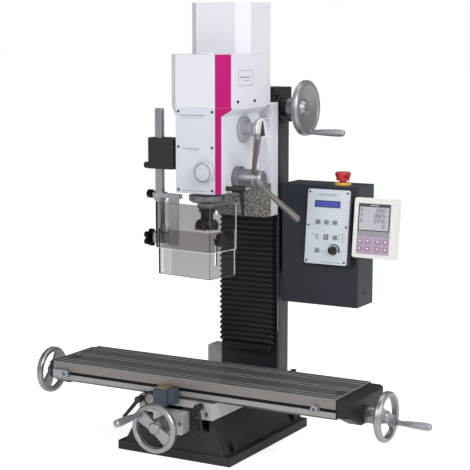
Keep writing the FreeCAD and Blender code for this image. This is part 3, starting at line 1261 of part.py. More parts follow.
def make_y_bracket():
    """Bearing bracket of the Y screw, bolted to the base's front."""
    body = box(-BRACKET_HALF, BRACKET_HALF, BRACKET_FRONT_Y, BRACKET_BACK_Y, BRACKET_BOTTOM_Z, BRACKET_TOP_Z)
    body = body.makeFillet(6, [e for e in body.Edges if e.BoundBox.YLength > 20])
    body = body.cut(rod_y(SCREW_R + RUNNING, BRACKET_FRONT_Y - 1, BRACKET_BACK_Y + 1, 0, Y_SCREW_Z))
    for side in (-1, 1):
        body = body.cut(
            rod_y(4, BRACKET_FRONT_Y - 1, BRACKET_FRONT_Y + 9, side * (BRACKET_HALF - 9), Y_SCREW_Z),
        )
    return body


def make_saddle_lock(place, lever):
    """Gib clamp: screw, hub and a tapered lever across it."""
    x, z = place
    face = SADDLE_FRONT_Y - GAP
    screw = rod_y(SADDLE_LOCK_R, face - 10, SADDLE_FRONT_Y + 22, x, z)
    hub = rod_y(7.5, face - 20, face - 1, x, z)
    foot = V(x, face - 14, z)
    way = V(lever[0], -6, lever[1])
    arm = Part.makeCone(4.8, 3.6, way.Length, foot, way)
    return joined(screw, hub, arm, Part.makeSphere(4.4, foot + way))


SENSOR_LEFT_X = -40.0
SENSOR_RIGHT_X = 10.0
SENSOR_FRONT_Y = SADDLE_FRONT_Y - 26.0
SENSOR_BOTTOM_Z = SADDLE_TOP_Z - 11.0
SENSOR_TOP_Z = SADDLE_TOP_Z + 26.0


def make_sensor_block():
    """Stop and sensor block on the saddle's front: body, brass top plate and side piece."""
    split = SENSOR_RIGHT_X - 16
    body = box(SENSOR_LEFT_X, split, SENSOR_FRONT_Y, SADDLE_FRONT_Y, SENSOR_BOTTOM_Z, SENSOR_TOP_Z - 4)
    plate = box(SENSOR_LEFT_X + 2, split, SENSOR_FRONT_Y + 2, SADDLE_FRONT_Y, SENSOR_TOP_Z - 4, SENSOR_TOP_Z)
    side = box(split, SENSOR_RIGHT_X, SENSOR_FRONT_Y + 3, SADDLE_FRONT_Y, SENSOR_BOTTOM_Z + 4, SENSOR_TOP_Z - 1)
    return group(body, plate, side)


LEAD_R = 2.0
LEAD_POINTS = [
    (SENSOR_LEFT_X, SENSOR_FRONT_Y + 12, SENSOR_TOP_Z - 12),
    (SENSOR_LEFT_X - 14, SENSOR_FRONT_Y + 12, SENSOR_TOP_Z - 12),
    (SENSOR_LEFT_X - 26, SENSOR_FRONT_Y + 11, SENSOR_TOP_Z - 21),
    (SENSOR_LEFT_X - 31, SENSOR_FRONT_Y + 12, SENSOR_TOP_Z - 36),
    (SENSOR_LEFT_X - 32, SADDLE_FRONT_Y + 5, SADDLE_BOTTOM_Z + 10),
]


# ---------------------------------------------------------------- bellows and boxes
def make_bellows():
    """Plain envelope of the folded cover in front of the column's ways."""
    return box(
        -BELLOWS_HALF, BELLOWS_HALF, BELLOWS_FRONT_Y, BELLOWS_BACK_Y, BELLOWS_BOTTOM_Z + GAP,
        CARRIAGE_BOTTOM_Z - GAP,
    )


def make_bellows_clamp():
    """Clamp strip that holds the bellows' foot against the column, with two screws."""
    strip = box(
        -BELLOWS_HALF, BELLOWS_HALF, BELLOWS_FRONT_Y, COLUMN_FRONT_Y,
        BELLOWS_BOTTOM_Z - CLAMP_HEIGHT, BELLOWS_BOTTOM_Z,
    )
    screw = socket_screw(4.5, 3, 2.5, 5)
    z = BELLOWS_BOTTOM_Z - CLAMP_HEIGHT / 2
    screws = [along_y(screw, side * 36, BELLOWS_FRONT_Y, z) for side in (-1, 1)]
    for one in screws:
        strip = strip.cut(one)
    return group(strip, *screws)


JUNCTION_OUT = 40.0      # how far the junction box stands out from the column's side


def make_junction_box():
    """Small box at the left of the column's foot."""
    shell = box(
        -COLUMN_HALF - JUNCTION_OUT, -COLUMN_HALF, COLUMN_FRONT_Y + 2, COLUMN_FRONT_Y + 46,
        TABLE_TOP_Z - 50, TABLE_TOP_Z - 1,
    )
    return shell.makeFillet(3, shell.Edges)


PANEL_TOP_DY = PANEL_HEIGHT * math.sin(math.radians(PANEL_TILT))
PANEL_RISE = PANEL_HEIGHT * math.cos(math.radians(PANEL_TILT))
PANEL_LEFT_X = PANEL_MID_X - PANEL_WIDTH / 2
PANEL_RIGHT_X = PANEL_MID_X + PANEL_WIDTH / 2
CONSOLE_RIM = 4.0
KNOB_X = PANEL_RIGHT_X - 34.0
KNOB_UP = 32.0
KNOB_R = 8.5
KNOB_SHAFT_R = 3.0


def make_control_box():
    """Sheet-steel box with its sloped console and the arm that carries it on the column."""
    case = box(BOX_LEFT_X, BOX_RIGHT_X, BOX_FRONT_Y, BOX_BACK_Y, BOX_BOTTOM_Z, BOX_TOP_Z)
    case = case.makeFillet(4, [e for e in case.Edges if e.BoundBox.XLength < 1 and e.BoundBox.YLength < 1])
    wedge_foot = PANEL_FOOT_Y + PANEL_THICK
    console = slab_x([
        (wedge_foot, PANEL_BOTTOM_Z), (wedge_foot + PANEL_TOP_DY, PANEL_BOTTOM_Z + PANEL_RISE),
        (BOX_FRONT_Y + 1, PANEL_BOTTOM_Z + PANEL_RISE), (BOX_FRONT_Y + 1, PANEL_BOTTOM_Z - 8),
    ], PANEL_LEFT_X - CONSOLE_RIM, PANEL_RIGHT_X + CONSOLE_RIM)
    room = box(
        BOX_LEFT_X + BOX_WALL, BOX_RIGHT_X - BOX_WALL, BOX_FRONT_Y + BOX_WALL, BOX_BACK_Y - BOX_WALL,
        BOX_BOTTOM_Z + BOX_WALL, BOX_TOP_Z - BOX_WALL,
    )
    well = slab_x([
        (wedge_foot + BOX_WALL, PANEL_BOTTOM_Z + 6),
        (wedge_foot + BOX_WALL + PANEL_TOP_DY, PANEL_BOTTOM_Z + PANEL_RISE - 6),
        (BOX_FRONT_Y + BOX_WALL + 1, PANEL_BOTTOM_Z + PANEL_RISE - 6),
        (BOX_FRONT_Y + BOX_WALL + 1, PANEL_BOTTOM_Z + 6),
    ], PANEL_LEFT_X + 4, PANEL_RIGHT_X - 4)
    shell = joined(case, console).cut(room).cut(well)
    shell = shell.cut(rod_z(ESTOP_SHAFT_R + 1, BOX_TOP_Z - 5, BOX_TOP_Z + 1, ESTOP_X, ESTOP_Y))
    shell = shell.cut(panel_frame(Part.makeCylinder(KNOB_SHAFT_R + 1, 20, V(KNOB_X, KNOB_UP, -15))))
    arm_y0 = COLUMN_BACK_Y - 54
    arm_y1 = COLUMN_BACK_Y - 18
    arm = slab_z([
        (column_half_at(arm_y0), arm_y0), (BOX_LEFT_X, arm_y0), (BOX_LEFT_X, arm_y1),
        (column_half_at(arm_y1), arm_y1),
    ], BOX_BOTTOM_Z + 60, BOX_TOP_Z - 60)
    return group(shell, arm)


def panel_frame(shape):
    """From (across, up the slope, out of the face) to the console's sloped face."""
    lean = math.radians(PANEL_TILT)
    return placed(
        shape, (0, PANEL_FOOT_Y + PANEL_THICK, PANEL_BOTTOM_Z), (1, 0, 0), (0, -math.cos(lean), math.sin(lean)),
    )


def make_panel_plate():
    """Printed panel plate, bored for the speed knob's shaft."""
    plate = Part.makeBox(PANEL_WIDTH, PANEL_HEIGHT, PANEL_THICK, V(PANEL_LEFT_X, 0, 0))
    plate = plate.makeFillet(5, [e for e in plate.Edges if abs(e.BoundBox.ZLength - PANEL_THICK) < 0.01])
    plate = plate.cut(Part.makeCylinder(KNOB_SHAFT_R + 1, 10, V(KNOB_X, KNOB_UP, -5)))
    return panel_frame(plate)


def make_speed_knob():
    knob = turned([
        (0, -10), (KNOB_SHAFT_R, -10), (KNOB_SHAFT_R, PANEL_THICK + GAP), (KNOB_R + 1.5, PANEL_THICK + GAP),
        (KNOB_R + 1.5, PANEL_THICK + 3), (KNOB_R, PANEL_THICK + 4), (KNOB_R - 1, PANEL_THICK + 13),
        (0, PANEL_THICK + 13.5),
    ])
    knob.translate(V(KNOB_X, KNOB_UP, 0))
    return panel_frame(knob)


def make_control_board():
    """Drive board on spacers on the box's back wall."""
    back = BOX_BACK_Y - BOX_WALL
    board = box(BOX_LEFT_X + 20, BOX_RIGHT_X - 20, back - 14, back - 12, BOX_BOTTOM_Z + 30, BOX_TOP_Z - 40)
    spacers = [
        rod_y(4, back - 12, back, x, z)
        for x in (BOX_LEFT_X + 30, BOX_RIGHT_X - 30) for z in (BOX_BOTTOM_Z + 40, BOX_TOP_Z - 50)
    ]
    sink = box(BOX_LEFT_X + 40, BOX_LEFT_X + 120, back - 44, back - 14, BOX_BOTTOM_Z + 50, BOX_BOTTOM_Z + 150)
    return joined(board, sink, *spacers)


ESTOP_SHAFT_R = 8.0
ESTOP_RING_HEIGHT = 6.0
ESTOP_PRESS = 4.0
BUTTON_SKIRT = 4.7


def make_estop_ring():
    ring = turned([
        (ESTOP_SHAFT_R + 0.5, 0), (ESTOP_R + 1, 0), (ESTOP_R + 1, 3), (ESTOP_R - 2, ESTOP_RING_HEIGHT),
        (ESTOP_SHAFT_R + 0.5, ESTOP_RING_HEIGHT),
    ])
    ring.translate(V(ESTOP_X, ESTOP_Y, BOX_TOP_Z))
    return ring


def make_estop_button():
    """Mushroom button with a narrow waist, on a stem that goes into the box."""
    button = turned([
        (0, -20), (ESTOP_SHAFT_R, -20), (ESTOP_SHAFT_R, BUTTON_SKIRT), (ESTOP_R - 3, BUTTON_SKIRT),
        (ESTOP_R - 3, 10), (ESTOP_R, 18), (ESTOP_R, 21), (ESTOP_R - 3, 23.5), (0, 24.5),
    ])
    button.translate(V(ESTOP_X, ESTOP_Y, BOX_TOP_Z + ESTOP_RING_HEIGHT - BUTTON_SKIRT + ESTOP_PRESS + GAP))
    return button


def readout_frame(shape):
    """From (across, up the slope, out of the face) to the readout's sloped face."""
    lean = math.radians(READOUT_TILT)
    return placed(
        shape, (READOUT_MID_X, READOUT_FOOT_Y, READOUT_BOTTOM_Z), (1, 0, 0),
        (0, -math.cos(lean), math.sin(lean)),
    )


READOUT_SCREEN = 2.0


def make_readout_housing():
    """Moulded readout housing, hollow, and the bracket from the control box."""
    half = READOUT_WIDTH / 2
    case = Part.makeBox(READOUT_WIDTH, READOUT_HEIGHT, READOUT_DEPTH, V(-half, 0, -READOUT_DEPTH))
    case = case.makeFillet(6, [e for e in case.Edges if abs(e.BoundBox.ZLength - READOUT_DEPTH) < 0.01])
    room = Part.makeBox(
        READOUT_WIDTH - 7, READOUT_HEIGHT - 7, READOUT_DEPTH - 8, V(-half + 3.5, 3.5, -READOUT_DEPTH + 3.5),
    )
    recess = Part.makeBox(
        READOUT_WIDTH - 20, READOUT_HEIGHT - 22, READOUT_SCREEN, V(-half + 10, 9, -READOUT_SCREEN),
    )
    case = readout_frame(case.cut(room).cut(recess))
    lean = math.tan(math.radians(READOUT_TILT))
    z0 = READOUT_BOTTOM_Z + 44
    z1 = z0 + 44
    back = READOUT_FOOT_Y + READOUT_DEPTH / math.cos(math.radians(READOUT_TILT))
    bracket = slab_x([
        (back + (z0 - READOUT_BOTTOM_Z) * lean + 0.01, z0), (back + (z1 - READOUT_BOTTOM_Z) * lean + 0.01, z1),
        (back + 30, z1), (back + 30, z0),
    ], BOX_RIGHT_X, READOUT_MID_X + 20)
    return group(case, bracket)


def make_readout_screen():
    half = READOUT_WIDTH / 2
    return readout_frame(Part.makeBox(
        READOUT_WIDTH - 20, READOUT_HEIGHT - 22, READOUT_SCREEN, V(-half + 10, 9, -READOUT_SCREEN),
    ))


# ---------------------------------------------------------------- write every node
os.makedirs("parts", exist_ok=True)

save("base", make_base())
save("column", make_column())
save("column_bolts", make_column_bolts())
save("top_housing", make_top_housing())
save("bellows_clamp", make_bellows_clamp())
save("y_bracket", make_y_bracket())
save("junction_box", make_junction_box())
save("control_box", make_control_box())
save("panel_plate", make_panel_plate())
save("control_board", make_control_board())
save("estop_ring", make_estop_ring())
save("estop_button", make_estop_button())
save("speed_knob", make_speed_knob())
save("readout_housing", make_readout_housing())
save("readout_screen", make_readout_screen())

save("z_wheel", make_z_wheel())
save("z_shaft", make_z_shaft())
save("z_screw", make_z_screw())
save("z_grip", placed(
    make_grip(Z_GRIP_LENGTH),
    grip_place((Z_WHEEL_FACE_X + GAP, Z_SCREW_Y, Z_SHAFT_Z), Z_GRIP_WAY, Z_WHEEL_PIN_RADIUS),
    Z_GRIP_WAY, (1, 0, 0),
))

save("carriage", make_carriage())
save("z_nut", make_z_nut())
save("tilt_scale", make_tilt_scale())
save("bellows", make_bellows())

save("head_casting", make_head_casting())
save("front_plate", make_front_plate())
save("lower_cover", make_lower_cover())
save("upper_cover", make_upper_cover())
save("drawbar_cap", make_drawbar_cap())
save("cover_screws", make_cover_screws())
save("motor", make_motor())
save("motor_gear", make_motor_gear())
save("quill", make_quill())
save("spindle", make_spindle())
save("spindle_gear", make_spindle_gear())
save("arbor", make_arbor())
save("face_mill", make_face_mill())
save("feed_hub", make_feed_hub())
save("feed_levers", make_feed_levers())
save("depth_dial", make_depth_dial())
save("gear_knob", make_gear_knob())
save("quill_lock", make_quill_lock())
save("guard_block", make_guard_block())
save("guard_post", make_guard_post())
save("guard_arm", make_guard_arm())
save("guard_upper", make_guard_upper())
save("guard_lower", make_guard_lower())

save("saddle", make_saddle())
save("saddle_lock_left", make_saddle_lock(LEFT_LOCK, LEFT_LEVER))
save("saddle_lock_right", make_saddle_lock(RIGHT_LOCK, RIGHT_LEVER))
save("sensor_block", make_sensor_block())
save("sensor_lead", tube(LEAD_POINTS, LEAD_R))
save("table", make_table())
save("end_brackets", make_end_brackets())
save("table_stops", make_table_stops())
save("x_screw", make_x_screw())
save("x_wheels", make_x_wheels())
save("x_grip", placed(
    make_grip(X_GRIP_LENGTH),
    grip_place((X_WHEEL_RIGHT + GAP, TABLE_MID_Y, X_SCREW_Z), X_GRIP_WAY, WHEEL_PIN_RADIUS),
    X_GRIP_WAY, (1, 0, 0),
))
save("y_screw", make_y_screw())
save("y_wheel", make_y_wheel())
save("y_grip", placed(
    make_grip(Y_GRIP_LENGTH),
    grip_place((0, Y_WHEEL_FRONT - GAP, Y_SCREW_Z), Y_GRIP_WAY, WHEEL_PIN_RADIUS), Y_GRIP_WAY, (0, -1, 0),
))
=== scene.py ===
# %% [markdown]
# # A bench-top vertical milling machine
# The castings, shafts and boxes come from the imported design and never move. This lesson dresses them: it
# rounds their edges, gives each a finish, and adds what a design model leaves out, such as the folds of the
# bellows, the coloured stripe, the printed panel, dials and small screws. Every length is in metres.

# %% Load the frame
import math

import bmesh
import bpy
import numpy as np
from mathutils import Matrix, Vector


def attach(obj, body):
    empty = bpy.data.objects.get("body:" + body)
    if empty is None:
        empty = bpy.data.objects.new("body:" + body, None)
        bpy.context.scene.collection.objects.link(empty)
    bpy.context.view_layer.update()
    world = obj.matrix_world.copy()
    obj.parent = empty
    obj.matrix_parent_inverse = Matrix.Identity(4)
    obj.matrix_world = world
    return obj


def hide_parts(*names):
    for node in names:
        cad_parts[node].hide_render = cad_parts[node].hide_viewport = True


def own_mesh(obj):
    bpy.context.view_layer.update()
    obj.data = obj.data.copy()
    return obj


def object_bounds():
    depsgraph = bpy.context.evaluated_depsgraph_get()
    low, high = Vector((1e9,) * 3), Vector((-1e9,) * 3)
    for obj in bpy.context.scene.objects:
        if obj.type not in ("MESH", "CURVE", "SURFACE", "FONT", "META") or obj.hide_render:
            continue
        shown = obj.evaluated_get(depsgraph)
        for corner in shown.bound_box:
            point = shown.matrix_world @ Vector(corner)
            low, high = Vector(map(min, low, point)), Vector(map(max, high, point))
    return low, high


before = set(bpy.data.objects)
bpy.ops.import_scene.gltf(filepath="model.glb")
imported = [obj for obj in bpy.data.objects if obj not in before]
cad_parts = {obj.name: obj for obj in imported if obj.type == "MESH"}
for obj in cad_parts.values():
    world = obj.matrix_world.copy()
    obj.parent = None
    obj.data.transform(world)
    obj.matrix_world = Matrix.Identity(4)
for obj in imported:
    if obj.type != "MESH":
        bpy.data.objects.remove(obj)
cad_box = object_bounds()
MM = 0.001

# %% [markdown]
# ## Camera
# A long lens from well back keeps the machine's upright lines nearly parallel. The camera stands to the
# operator's right of the table's middle and looks a little down.

# %% Camera
CAMERA_PLACE = Vector((1.5402, -2.6431, 0.8956))
CAMERA_YAW = math.radians(29.4)
CAMERA_PITCH = math.radians(8.1)

camera_data = bpy.data.cameras.new("camera")
camera_data.lens = 107.1
camera_data.sensor_width = 36
camera = bpy.data.objects.new("camera", camera_data)
camera.location = CAMERA_PLACE
camera.rotation_euler = (math.pi / 2 - CAMERA_PITCH, 0, CAMERA_YAW)
bpy.context.scene.collection.objects.link(camera)
bpy.context.scene.camera = camera

# %% [markdown]
# ## Studio
# A pale floor, one large soft lamp in front and to the right, a weaker one on the left and a strip from
# above. The room is pale where it is looked at and dimmer where it lights and mirrors, because polished metal
# needs something dark to reflect before it reads as metal. The floor glows a little, and more so where it is
# looked at, so that it runs into the room without a line.

# %% Floor, room and lamps
FLOOR_HALF = 60.0
FLOOR_GLOW = 0.30
FLOOR_SEEN = 0.42
ROOM_SEEN = 1.0
ROOM_LIGHT = 0.36


def studio_room():
    """White where the camera looks at it, a grey gradient, lighter overhead, for every other ray."""
    world = bpy.data.worlds.new("studio room")
    bpy.context.scene.world = world
    world.use_nodes = True
    nodes, links = world.node_tree.nodes, world.node_tree.links
    nodes.clear()
    way = nodes.new("ShaderNodeTexCoord")
    parts = nodes.new("ShaderNodeSeparateXYZ")
    links.new(way.outputs["Generated"], parts.inputs[0])
    height = nodes.new("ShaderNodeMapRange")
    height.inputs["From Min"].default_value = -0.35
    height.inputs["From Max"].default_value = 0.9
    height.inputs["To Min"].default_value = 0.35
    height.inputs["To Max"].default_value = 1.25
    links.new(parts.outputs["Z"], height.inputs["Value"])
    dim = nodes.new("ShaderNodeBackground")
    dim.inputs["Color"].default_value = (0.93, 0.96, 1.0, 1)
    strength = nodes.new("ShaderNodeMath")
    strength.operation = "MULTIPLY"
    strength.inputs[1].default_value = ROOM_LIGHT
    side = nodes.new("ShaderNodeMapRange")
    side.inputs["From Min"].default_value = -0.6
    side.inputs["From Max"].default_value = 0.6
    side.inputs["To Min"].default_value = 0.35
    side.inputs["To Max"].default_value = 1.5
    links.new(parts.outputs["X"], side.inputs["Value"])
    both = nodes.new("ShaderNodeMath")
    both.operation = "MULTIPLY"
    links.new(height.outputs["Result"], both.inputs[0])
    links.new(side.outputs["Result"], both.inputs[1])
    links.new(both.outputs[0], strength.inputs[0])
    links.new(strength.outputs[0], dim.inputs["Strength"])
    seen = nodes.new("ShaderNodeBackground")
    seen.inputs["Color"].default_value = (1, 1, 1, 1)
    seen.inputs["Strength"].default_value = ROOM_SEEN
    path = nodes.new("ShaderNodeLightPath")
    choose = nodes.new("ShaderNodeMixShader")
    links.new(path.outputs["Is Camera Ray"], choose.inputs["Fac"])
    links.new(dim.outputs[0], choose.inputs[1])
    links.new(seen.outputs[0], choose.inputs[2])
    out = nodes.new("ShaderNodeOutputWorld")
    links.new(choose.outputs[0], out.inputs["Surface"])


def soft_lamp(name, place, aim, size, watts):
    data = bpy.data.lights.new(name, "AREA")
    data.shape = "RECTANGLE"
    data.size, data.size_y = size
    data.energy = watts
    lamp = bpy.data.objects.new(name, data)
    lamp.location = place
    lamp.rotation_euler = (Vector(aim) - Vector(place)).to_track_quat("-Z", "Y").to_euler()
    bpy.context.scene.collection.objects.link(lamp)
    return lamp


studio_room()
MACHINE_MIDDLE = (cad_box[0] + cad_box[1]) / 2
soft_lamp("key lamp", (2.5, -1.5, 1.9), MACHINE_MIDDLE, (1.6, 1.8), 46)
soft_lamp("fill lamp", (-1.0, -2.9, 1.9), MACHINE_MIDDLE, (1.6, 1.6), 32)
soft_lamp("top lamp", (0.2, 0.4, 3.0), MACHINE_MIDDLE, (2.4, 1.4), 26)
bpy.context.scene.view_settings.view_transform = "Standard"

# %% [markdown]
# ## Making surfaces
# Most added pieces are one closed outline, carried up through levels that move it in or out: keys, screws,
# knobs, dials, labels and even the bellows. The outline and the levels are two parameters of one surface, so
# the whole grid of points is worked out at once.


# %% Surface helpers
def placing(origin, x_dir, z_dir):
    """A matrix that carries a piece's own X and Z axes onto x_dir and z_dir at origin."""
    z_axis = Vector(z_dir).normalized()
    x_axis = Vector(x_dir)
    x_axis = (x_axis - z_axis * x_axis.dot(z_axis)).normalized()
    y_axis = z_axis.cross(x_axis)
    turn = Matrix((x_axis, y_axis, z_axis)).transposed().to_4x4()
    return Matrix.Translation(Vector(origin)) @ turn


UPRIGHT = Matrix.Identity(4)


def circle(count=48):
    """Outline of radius r + grow: (r + grow) (cos t, sin t). Returned as a function of (size, grow)."""
    turn = np.linspace(0, 2 * np.pi, count, endpoint=False)
    ring = np.stack([np.cos(turn), np.sin(turn)], axis=1)
    return lambda size, grow: (size + grow) * ring


def rounded(corner, per_corner=6):
    """Outline of a rectangle with round corners; size is (width, height), grow moves every side out."""
    quarter = np.linspace(0, np.pi / 2, per_corner)

    def outline(size, grow):
        half = np.array(size) / 2 + grow
        radius = min(max(corner + grow, 1e-5), half.min() * 0.999)
        parts = []
        for index, (sx, sy) in enumerate(((1, 1), (-1, 1), (-1, -1), (1, -1))):
            turn = quarter + index * np.pi / 2
            middle = np.array([sx * (half[0] - radius), sy * (half[1] - radius)])
            parts.append(middle + radius * np.stack([np.cos(turn), np.sin(turn)], axis=1))
        return np.concatenate(parts)

    return outline


def stacked(outline, size, levels):
    """Points of shape (level, outline, 3): the outline grown and lifted by each (grow, height) level."""
    rings = [np.column_stack([outline(size, grow), np.full(len(outline(size, grow)), z)]) for grow, z in levels]
    return np.array(rings)


def grid_faces(rows, columns):
    """Quads between neighbouring rows, closed round each row."""
    row, column = np.meshgrid(np.arange(rows - 1), np.arange(columns), indexing="ij")
    after = (column + 1) % columns
    quads = np.stack([
        row * columns + column, row * columns + after, (row + 1) * columns + after,
        (row + 1) * columns + column,
    ], axis=-1).reshape(-1, 4)
    return quads.tolist()


def make_piece(name, points, faces, material, body, slot, place=UPRIGHT, sharp=38):
    """One closed mesh in its place: doubles merged, faces turned outwards, smooth up to a sharp angle."""
    mesh = bpy.data.meshes.new(name)
    mesh.from_pydata(np.asarray(points, float).reshape(-1, 3).tolist(), [], faces)
    mesh.transform(place)
    solid = bmesh.new()
    solid.from_mesh(mesh)
    bmesh.ops.remove_doubles(solid, verts=solid.verts, dist=2e-7)
    bmesh.ops.recalc_face_normals(solid, faces=solid.faces)
    solid.to_mesh(mesh)
    solid.free()
    mesh.shade_smooth()
    mesh.set_sharp_from_angle(angle=math.radians(sharp))
    mesh.materials.append(material)
    piece = bpy.data.objects.new(name, mesh)
    bpy.context.scene.collection.objects.link(piece)
    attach(piece, body)
    return piece


def stack_piece(name, outline, size, levels, material, body, slot, place=UPRIGHT, sharp=38):
    """A piece from an outline carried through levels, with lids."""
    rings = stacked(outline, size, levels)
    rows, columns = rings.shape[:2]
    lids = [list(range(columns))[::-1], list(range((rows - 1) * columns, rows * columns))]
    return make_piece(name, rings, grid_faces(rows, columns) + lids, material, body, slot, place, sharp)


def several(name, outline, size, levels, material, body, slot, places):
    """Copies of one small piece, joined as one mesh of separate solids."""
    rings = stacked(outline, size, levels)
    rows, columns = rings.shape[:2]
    lids = [list(range(columns))[::-1], list(range((rows - 1) * columns, rows * columns))]
    one = np.array(grid_faces(rows, columns))
    flat = rings.reshape(-1, 3)
    all_points, all_faces = [], []
    for index, place in enumerate(places):
        turn = np.array(place)
        all_points.append(flat @ turn[:3, :3].T + turn[:3, 3])
        all_faces += (one + index * len(flat)).tolist()
        all_faces += [[corner + index * len(flat) for corner in lid] for lid in lids]
    return make_piece(name, np.concatenate(all_points), all_faces, material, body, slot)


# %% [markdown]
# ## Finishes
# One function makes every opaque finish. A broad noise varies the colour a little, a finer one varies the
# roughness, and a third raises a bump, all in the machine's own coordinates so that the grain has its real
# size. Ground metal stretches the grain along the way the tool ran.


# %% A finish made of noise
def zone_mask(nodes, links, coordinates, limits):
    """1 inside a box of the machine's own coordinates, 0 outside; limits are (axis, low, high) in metres."""
    parts = nodes.new("ShaderNodeSeparateXYZ")
    links.new(coordinates, parts.inputs[0])
    mask = None
    for axis, low, high in limits:
        for limit, sense in ((low, "GREATER_THAN"), (high, "LESS_THAN")):
            test = nodes.new("ShaderNodeMath")
            test.operation = sense
            links.new(parts.outputs[axis], test.inputs[0])
            test.inputs[1].default_value = limit
            if mask is not None:
                both = nodes.new("ShaderNodeMath")
                both.operation = "MULTIPLY"
                links.new(mask, both.inputs[0])
                links.new(test.outputs[0], both.inputs[1])
                test = both
            mask = test.outputs[0]
    return mask


def finish(
    name, colour, rough, metal=0.0, vary=0.06, vary_scale=14.0, rough_vary=0.05, bump=0.02, bump_scale=900.0,
    stretch=(1, 1, 1), specular=0.5, coat=0.0, speckle=None, zones=(),
):
    material = bpy.data.materials.new(name)
    material.use_nodes = True
    nodes, links = material.node_tree.nodes, material.node_tree.links
    shader = nodes["Principled BSDF"]
    where = nodes.new("ShaderNodeTexCoord")
    mapping = nodes.new("ShaderNodeMapping")
    mapping.inputs["Scale"].default_value = stretch
    links.new(where.outputs["Object"], mapping.inputs["Vector"])

    def noise(scale, detail=3.0):
        node = nodes.new("ShaderNodeTexNoise")
        node.inputs["Scale"].default_value = scale
        node.inputs["Detail"].default_value = detail
        links.new(mapping.outputs[0], node.inputs["Vector"])
        return node.outputs["Fac"]

    tint = nodes.new("ShaderNodeMix")
    tint.data_type = "RGBA"
    tint.inputs["A"].default_value = [max(c * (1 - vary), 0) for c in colour] + [1]
    tint.inputs["B"].default_value = [min(c * (1 + vary), 1) for c in colour] + [1]
    links.new(noise(vary_scale), tint.inputs["Factor"])
    shade = tint.outputs["Result"]
    if speckle:
        spots = nodes.new("ShaderNodeMapRange")
        spots.inputs["From Min"].default_value = speckle[1]
        spots.inputs["From Max"].default_value = speckle[1] + 0.08
        links.new(noise(speckle[2], 2.0), spots.inputs["Value"])
        over = nodes.new("ShaderNodeMix")
        over.data_type = "RGBA"
        links.new(spots.outputs["Result"], over.inputs["Factor"])
        links.new(shade, over.inputs["A"])
        over.inputs["B"].default_value = (*speckle[0], 1)
        shade = over.outputs["Result"]
    for limits, zone_colour, *fleck in zones:
        inside = zone_mask(nodes, links, where.outputs["Object"], limits)
        over = nodes.new("ShaderNodeMix")
        over.data_type = "RGBA"
        links.new(inside, over.inputs["Factor"])
        links.new(shade, over.inputs["A"])
        over.inputs["B"].default_value = (*zone_colour, 1)
        if fleck:
            fleck_colour, fleck_scale = fleck[0]
            grain = nodes.new("ShaderNodeMapRange")
            grain.inputs["From Min"].default_value = 0.4
            grain.inputs["From Max"].default_value = 0.62
            links.new(noise(fleck_scale, 2.0), grain.inputs["Value"])
            mottle = nodes.new("ShaderNodeMix")
            mottle.data_type = "RGBA"
            mottle.inputs["A"].default_value = (*zone_colour, 1)
            mottle.inputs["B"].default_value = (*fleck_colour, 1)
            links.new(grain.outputs["Result"], mottle.inputs["Factor"])
            links.new(mottle.outputs["Result"], over.inputs["B"])
        shade = over.outputs["Result"]
    links.new(shade, shader.inputs["Base Color"])
    roughness = nodes.new("ShaderNodeMapRange")
    roughness.inputs["To Min"].default_value = max(rough - rough_vary, 0.02)
    roughness.inputs["To Max"].default_value = min(rough + rough_vary, 1.0)
    links.new(noise(vary_scale * 7), roughness.inputs["Value"])
    links.new(roughness.outputs["Result"], shader.inputs["Roughness"])
    if bump:
        raised = nodes.new("ShaderNodeBump")
        raised.inputs["Strength"].default_value = 1.0
        raised.inputs["Distance"].default_value = bump * MM
        links.new(noise(bump_scale, 2.0), raised.inputs["Height"])
        links.new(raised.outputs[0], shader.inputs["Normal"])
    shader.inputs["Metallic"].default_value = metal
    shader.inputs["Specular IOR Level"].default_value = specular
    shader.inputs["Coat Weight"].default_value = coat
    shader.inputs["Coat Roughness"].default_value = 0.12
    return material


def srgb(red, green, blue):
    """Linear colour from the 0 to 255 numbers of a paint chart."""
    share = np.array([red, green, blue]) / 255
    linear = np.where(share <= 0.04045, share / 12.92, ((share + 0.055) / 1.055) ** 2.4)
    return tuple(float(c) for c in linear)


# %% [markdown]
# ### The finishes of this machine
# Sheet covers are powder coated: smooth, with a faint orange peel. Castings are painted over a rough skin.
# The table and saddle are ground iron, handwheels are turned and polished aluminium.

# %% Finishes
cover_paint = finish(
    "cover_paint", srgb(222, 223, 229), 0.42, vary=0.012, bump=0.012, bump_scale=700, coat=0.15,
)
casting_paint = finish("casting_paint", srgb(219, 221, 227), 0.46, vary=0.02, bump=0.05, bump_scale=420)
plate_print = finish("plate_print", srgb(208, 212, 221), 0.5, vary=0.01, bump=0.004)
stripe_film = finish("stripe_film", srgb(180, 6, 104), 0.5, vary=0.03, bump=0.004, specular=0.15)
column_paint = finish(
    "column_paint", srgb(25, 29, 36), 0.5, vary=0.12, bump=0.06, bump_scale=380, specular=0.3,
    speckle=(srgb(66, 68, 74), 0.66, 260),
    zones=[(((1, -1, 0.1), (2, 0, 0.176)), srgb(66, 67, 72), (srgb(104, 105, 110), 300))],
)
base_paint = finish(
    "base_paint", srgb(44, 41, 41), 0.5, vary=0.14, bump=0.10, bump_scale=260, specular=0.3,
    speckle=(srgb(74, 70, 68), 0.68, 220),
)
black_casting = finish(
    "black_casting", srgb(26, 27, 30), 0.45, vary=0.1, bump=0.05, bump_scale=420, specular=0.35,
)
black_plastic = finish("black_plastic", srgb(24, 24, 26), 0.36, vary=0.06, bump=0.015, specular=0.45)
black_ridged = finish(
    "black_ridged", srgb(30, 30, 33), 0.4, vary=0.2, vary_scale=3, bump=0.25, bump_scale=6,
    stretch=(1, 1, 60),
    specular=0.4,
)
bellows_cloth = finish(
    "bellows_cloth", srgb(26, 26, 28), 0.36, vary=0.12, bump=0.04, bump_scale=700, specular=0.6,
)
